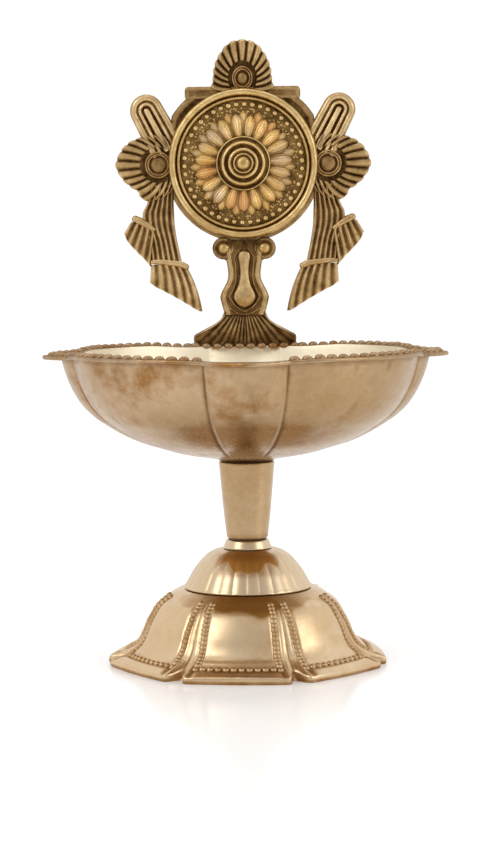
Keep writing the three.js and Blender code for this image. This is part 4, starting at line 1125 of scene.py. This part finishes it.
# columns crowd towards the edges, so the bevel is crisp
tc = np.sign(t) * (1 - (1 - np.abs(t)) ** 1.15)
X = half_w[:, None] * tc
Z = np.broadcast_to(nz[:, None], X.shape)
SHIELD = curve([(0, 118.6), (-3.3, 114.0), (-2.9, 111.6), (-2.75, 108.2), (-3.3, 105.2), (-4.9, 101.8), (-2.9, 98.9), (0, 97.1)], per=6, sharp=(1, 5))
SHIELD = np.vstack([SHIELD, mirror_x(SHIELD)[1:-1]])
BAL = curve([(0, 116.2), (-1.5, 115.7), (-2.05, 114.4), (-1.8, 112.6), (-1.55, 110.4), (-1.6, 108.0), (-2.2, 105.4), (-3.4, 102.8), (-3.4, 101.0), (-2.0, 99.2), (0, 98.3)], per=6)
BAL = np.vstack([BAL, mirror_x(BAL)[1:-1]])
d_edge = (half_w[:, None] - np.abs(X))
d_shield = depth_in(X, Z, SHIELD)
d_bal = depth_in(X, Z, BAL)
h = 0.15 + 0.75 * sstep(0.0, 0.9, d_edge) - 0.30 * sstep(1.5, 2.0, d_edge) * sstep(118.0, 113.0, Z)
h = h + 0.62 * sstep(-0.35, 0.25, d_shield)
h = h + 0.42 * bump(d_shield, 0.12, 0.26)
h = h - 0.34 * sstep(0.35, 0.75, d_shield)
h = h + 1.25 * np.sqrt(np.clip(d_bal, 0, 2.2) / 2.2) * sstep(0.0, 0.3, d_bal)
swag = [(-4.3, 98.2), (-2.2, 96.9), (0, 96.35), (2.2, 96.9), (4.3, 98.2)]
d_swag = line_distance(X, Z, swag)
h = h + 0.5 * bump(d_swag, 0, 0.32)
wear = 0.28 + 0.46 * sstep(0, 0.5, d_edge) * sstep(2.2, 1.5, d_edge) + 0.42 * bump(d_shield, 0.1, 0.3) + 0.44 * sstep(0.0, 0.6, d_bal) + 0.3 * bump(d_swag, 0, 0.3)
wear = wear - 0.2 * bump(d_bal, -0.1, 0.25)
wear = wear * sstep(118.4, 115.6, Z + 0.0 * X) + 0.12 * sstep(115.6, 118.4, Z)
bracket.slab(np.stack([X, PLATE - h, Z], axis=-1), BACK, np.clip(wear, 0.05, 0.86))
for s in (-1, 1):
    # ear: raised lip round a dished seat for the rivet
    line = curve([(0.02, 0.55), (1.8, 0.52), (2.2, 0.62), (2.6, 0.85), (2.95, 0.88), (3.25, 0.62), (3.4, 0.2), (3.4, -2.2), (3.35, -2.85), (0.02, -2.85)], per=4, sharp=(6, 7, 8))
    p = around_y(line[:, 0], line[:, 1], ring_points(72), s * 6.3, PLATE, 116.75)
    ew = np.interp(line[:, 1], [0.25, 0.55, 0.9], [0.25, 0.22, 0.5])
    bracket.turned(p, False, ew[None])

# foot: fine flutes fan out from the neck
rows, cols = 70, 240
fz = np.linspace(97.4, 87.15, rows)
FOOT = curve([(-6.35, 97.4), (-6.6, 96.6), (-7.5, 94.9), (-9.3, 93.5), (-11.75, 92.2), (-14.0, 91.0), (-15.5, 90.15), (-15.75, 89.5), (-15.7, 88.2), (-15.7, 87.15)], per=8)
half_w = -np.interp(fz[::-1], FOOT[::-1, 1], FOOT[::-1, 0])[::-1]
t = np.linspace(-1, 1, cols)[None, :]
X = half_w[:, None] * t
Z = np.broadcast_to(fz[:, None], X.shape)
rr = np.hypot(X, Z - 101.5)
ang = np.degrees(np.arctan2(X, 101.5 - Z))
fl = 17
ph = ang / 62.0
rib = np.abs(np.cos(math.pi * fl / 2 * np.sign(ph) * np.abs(ph) ** 0.85))
d_edge = np.minimum(half_w[:, None] - np.abs(X), 99)
border = np.vstack([FOOT[:-4], FOOT[-4:]])
d_out = np.minimum(line_distance(X, Z, FOOT), line_distance(X, Z, mirror_x(FOOT)))
spread = sstep(97.0, 95.0, Z)
h = 0.25 + 0.42 * rib * spread + 0.65 * sstep(97.4, 92.0, Z) + 0.2 * sstep(91.0, 88.0, Z)
h = h + 0.45 * bump(d_out, 0.35, 0.3) * sstep(88.5, 90.0, Z)
h = h * (0.3 + 0.7 * sstep(0, 0.3, d_out))
wear = 0.20 + 0.44 * rib ** 2.0 * spread * (0.65 + 0.35 * sstep(88, 93, Z)) + 0.36 * bump(d_out, 0.35, 0.3) * sstep(88.5, 90.0, Z)
wear = (wear - 0.08) * (0.5 + 0.42 * sstep(87.5, 93.0, Z))
bracket.slab(np.stack([X, PLATE + 0.1 - h, Z], axis=-1), 56.45, np.clip(wear, 0.05, 0.8))
bracket.object("emblem_neck", "bowl", "emblem_bracket", "antique_brass", CAST)

for name, s in (("rivet_left", -1), ("rivet_right", 1)):
    rivet = Form()
    line = curve([(0.02, 2.0), (0.6, 1.93), (1.2, 1.66), (1.6, 1.2), (1.85, 0.7), (1.85, 0.56), (1.1, 0.56), (1.1, -5.35), (1.85, -5.35), (1.75, -5.8), (1.2, -6.15), (0.02, -6.25)],
                 per=4, sharp=(5, 6, 7, 8))
    rivet.turned(around_y(line[:, 0], line[:, 1], ring_points(48), s * 6.2, PLATE, 116.75), False,
                 np.where(line[:, 1] > 0.5, 0.72, 0.4)[None])
    rivet.object("emblem_" + name, "bowl", name, "antique_brass", CAST_RIM)

# ------------------------------------------------------------------ CAD nodes that stay: a better finish
for name, mat in (("base_clamp_washer", TURNED), ("base_lock_nut", TURNED), ("stem_washer", SEAM), ("bowl_seat_washer", SEAM),
                  ("stem_stud", TURNED), ("bowl_stud", TURNED), ("foot_screw_left", TURNED), ("foot_screw_right", TURNED)):
    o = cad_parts[name]
    o.data.materials.clear()
    o.data.materials.append(mat)

# ------------------------------------------------------------------ floor, light, camera
bpy.ops.mesh.primitive_grid_add(x_subdivisions=4, y_subdivisions=4, size=6)
floor = bpy.context.object
floor.name = "studio_floor"
fm, fnt, fb = nodes_of("studio floor")
fg = Net(fnt)
fg.link(fg.mix(fg.noise(3, 2, 0.5), (0.93, 0.93, 0.93), (0.95, 0.95, 0.95)), fb.inputs["Base Color"])
fb.inputs["Roughness"].default_value = 0.16
fb.inputs["Specular IOR Level"].default_value = 0.35
fb.inputs["Emission Color"].default_value = (1, 1, 1, 1)
fb.inputs["Emission Strength"].default_value = 0.10
floor.data.materials.append(fm)

scene = bpy.context.scene
world = bpy.data.worlds.new("studio")
scene.world = world
world.use_nodes = True
wn = world.node_tree
wn.nodes.clear()
wo = wn.nodes.new("ShaderNodeOutputWorld")
bg = wn.nodes.new("ShaderNodeBackground")
wn.links.new(bg.outputs[0], wo.inputs["Surface"])
tc = wn.nodes.new("ShaderNodeTexCoord")
sp = wn.nodes.new("ShaderNodeSeparateXYZ")
wn.links.new(tc.outputs["Generated"], sp.inputs[0])
# white behind the object, a little dimmer on the camera's side
mr = wn.nodes.new("ShaderNodeMapRange")
mr.inputs["From Min"].default_value = -0.9
mr.inputs["From Max"].default_value = 0.35
mr.inputs["To Min"].default_value = 0.62
mr.inputs["To Max"].default_value = 1.04
wn.links.new(sp.outputs["Y"], mr.inputs["Value"])
cmb = wn.nodes.new("ShaderNodeCombineColor")
for k, tint in enumerate((1.0, 1.0, 1.0)):
    wn.links.new(mr.outputs[0], cmb.inputs[k])
wn.links.new(cmb.outputs[0], bg.inputs["Color"])
bg.inputs["Strength"].default_value = 1.0


def area(name, loc, target, size, power, size_y=None, colour=(1, 1, 1)):
    light = bpy.data.lights.new(name, "AREA")
    light.shape = "RECTANGLE"
    light.size = size
    light.size_y = size_y or size
    light.energy = power
    light.color = colour
    o = bpy.data.objects.new(name, light)
    o.location = loc
    o.rotation_euler = (Vector(target) - Vector(loc)).to_track_quat("-Z", "Y").to_euler()
    scene.collection.objects.link(o)
    return o


area("key left", (-0.75, -0.55, 0.75), (0, 0, 0.08), 0.55, 2.6)
area("fill right", (0.85, -0.35, 0.45), (0, 0, 0.08), 0.5, 1.5)
area("top", (0.0, 0.15, 1.1), (0, 0, 0.05), 0.9, 2.6)

cam_data = bpy.data.cameras.new("camera")
cam_data.sensor_width = 36
cam_data.lens = 96.0
cam_data.clip_start = 0.01
cam = bpy.data.objects.new("camera", cam_data)
cam.location = (-0.00077, -0.641, 0.1198)
look = Euler((math.radians(90 - 4.57), 0, 0)).to_matrix()
roll = Matrix.Rotation(math.radians(-0.62), 3, "Z")
cam.rotation_euler = (look @ roll).to_euler()
scene.collection.objects.link(cam)
scene.camera = cam
scene.view_settings.view_transform = "Standard"
scene.view_settings.look = "None"
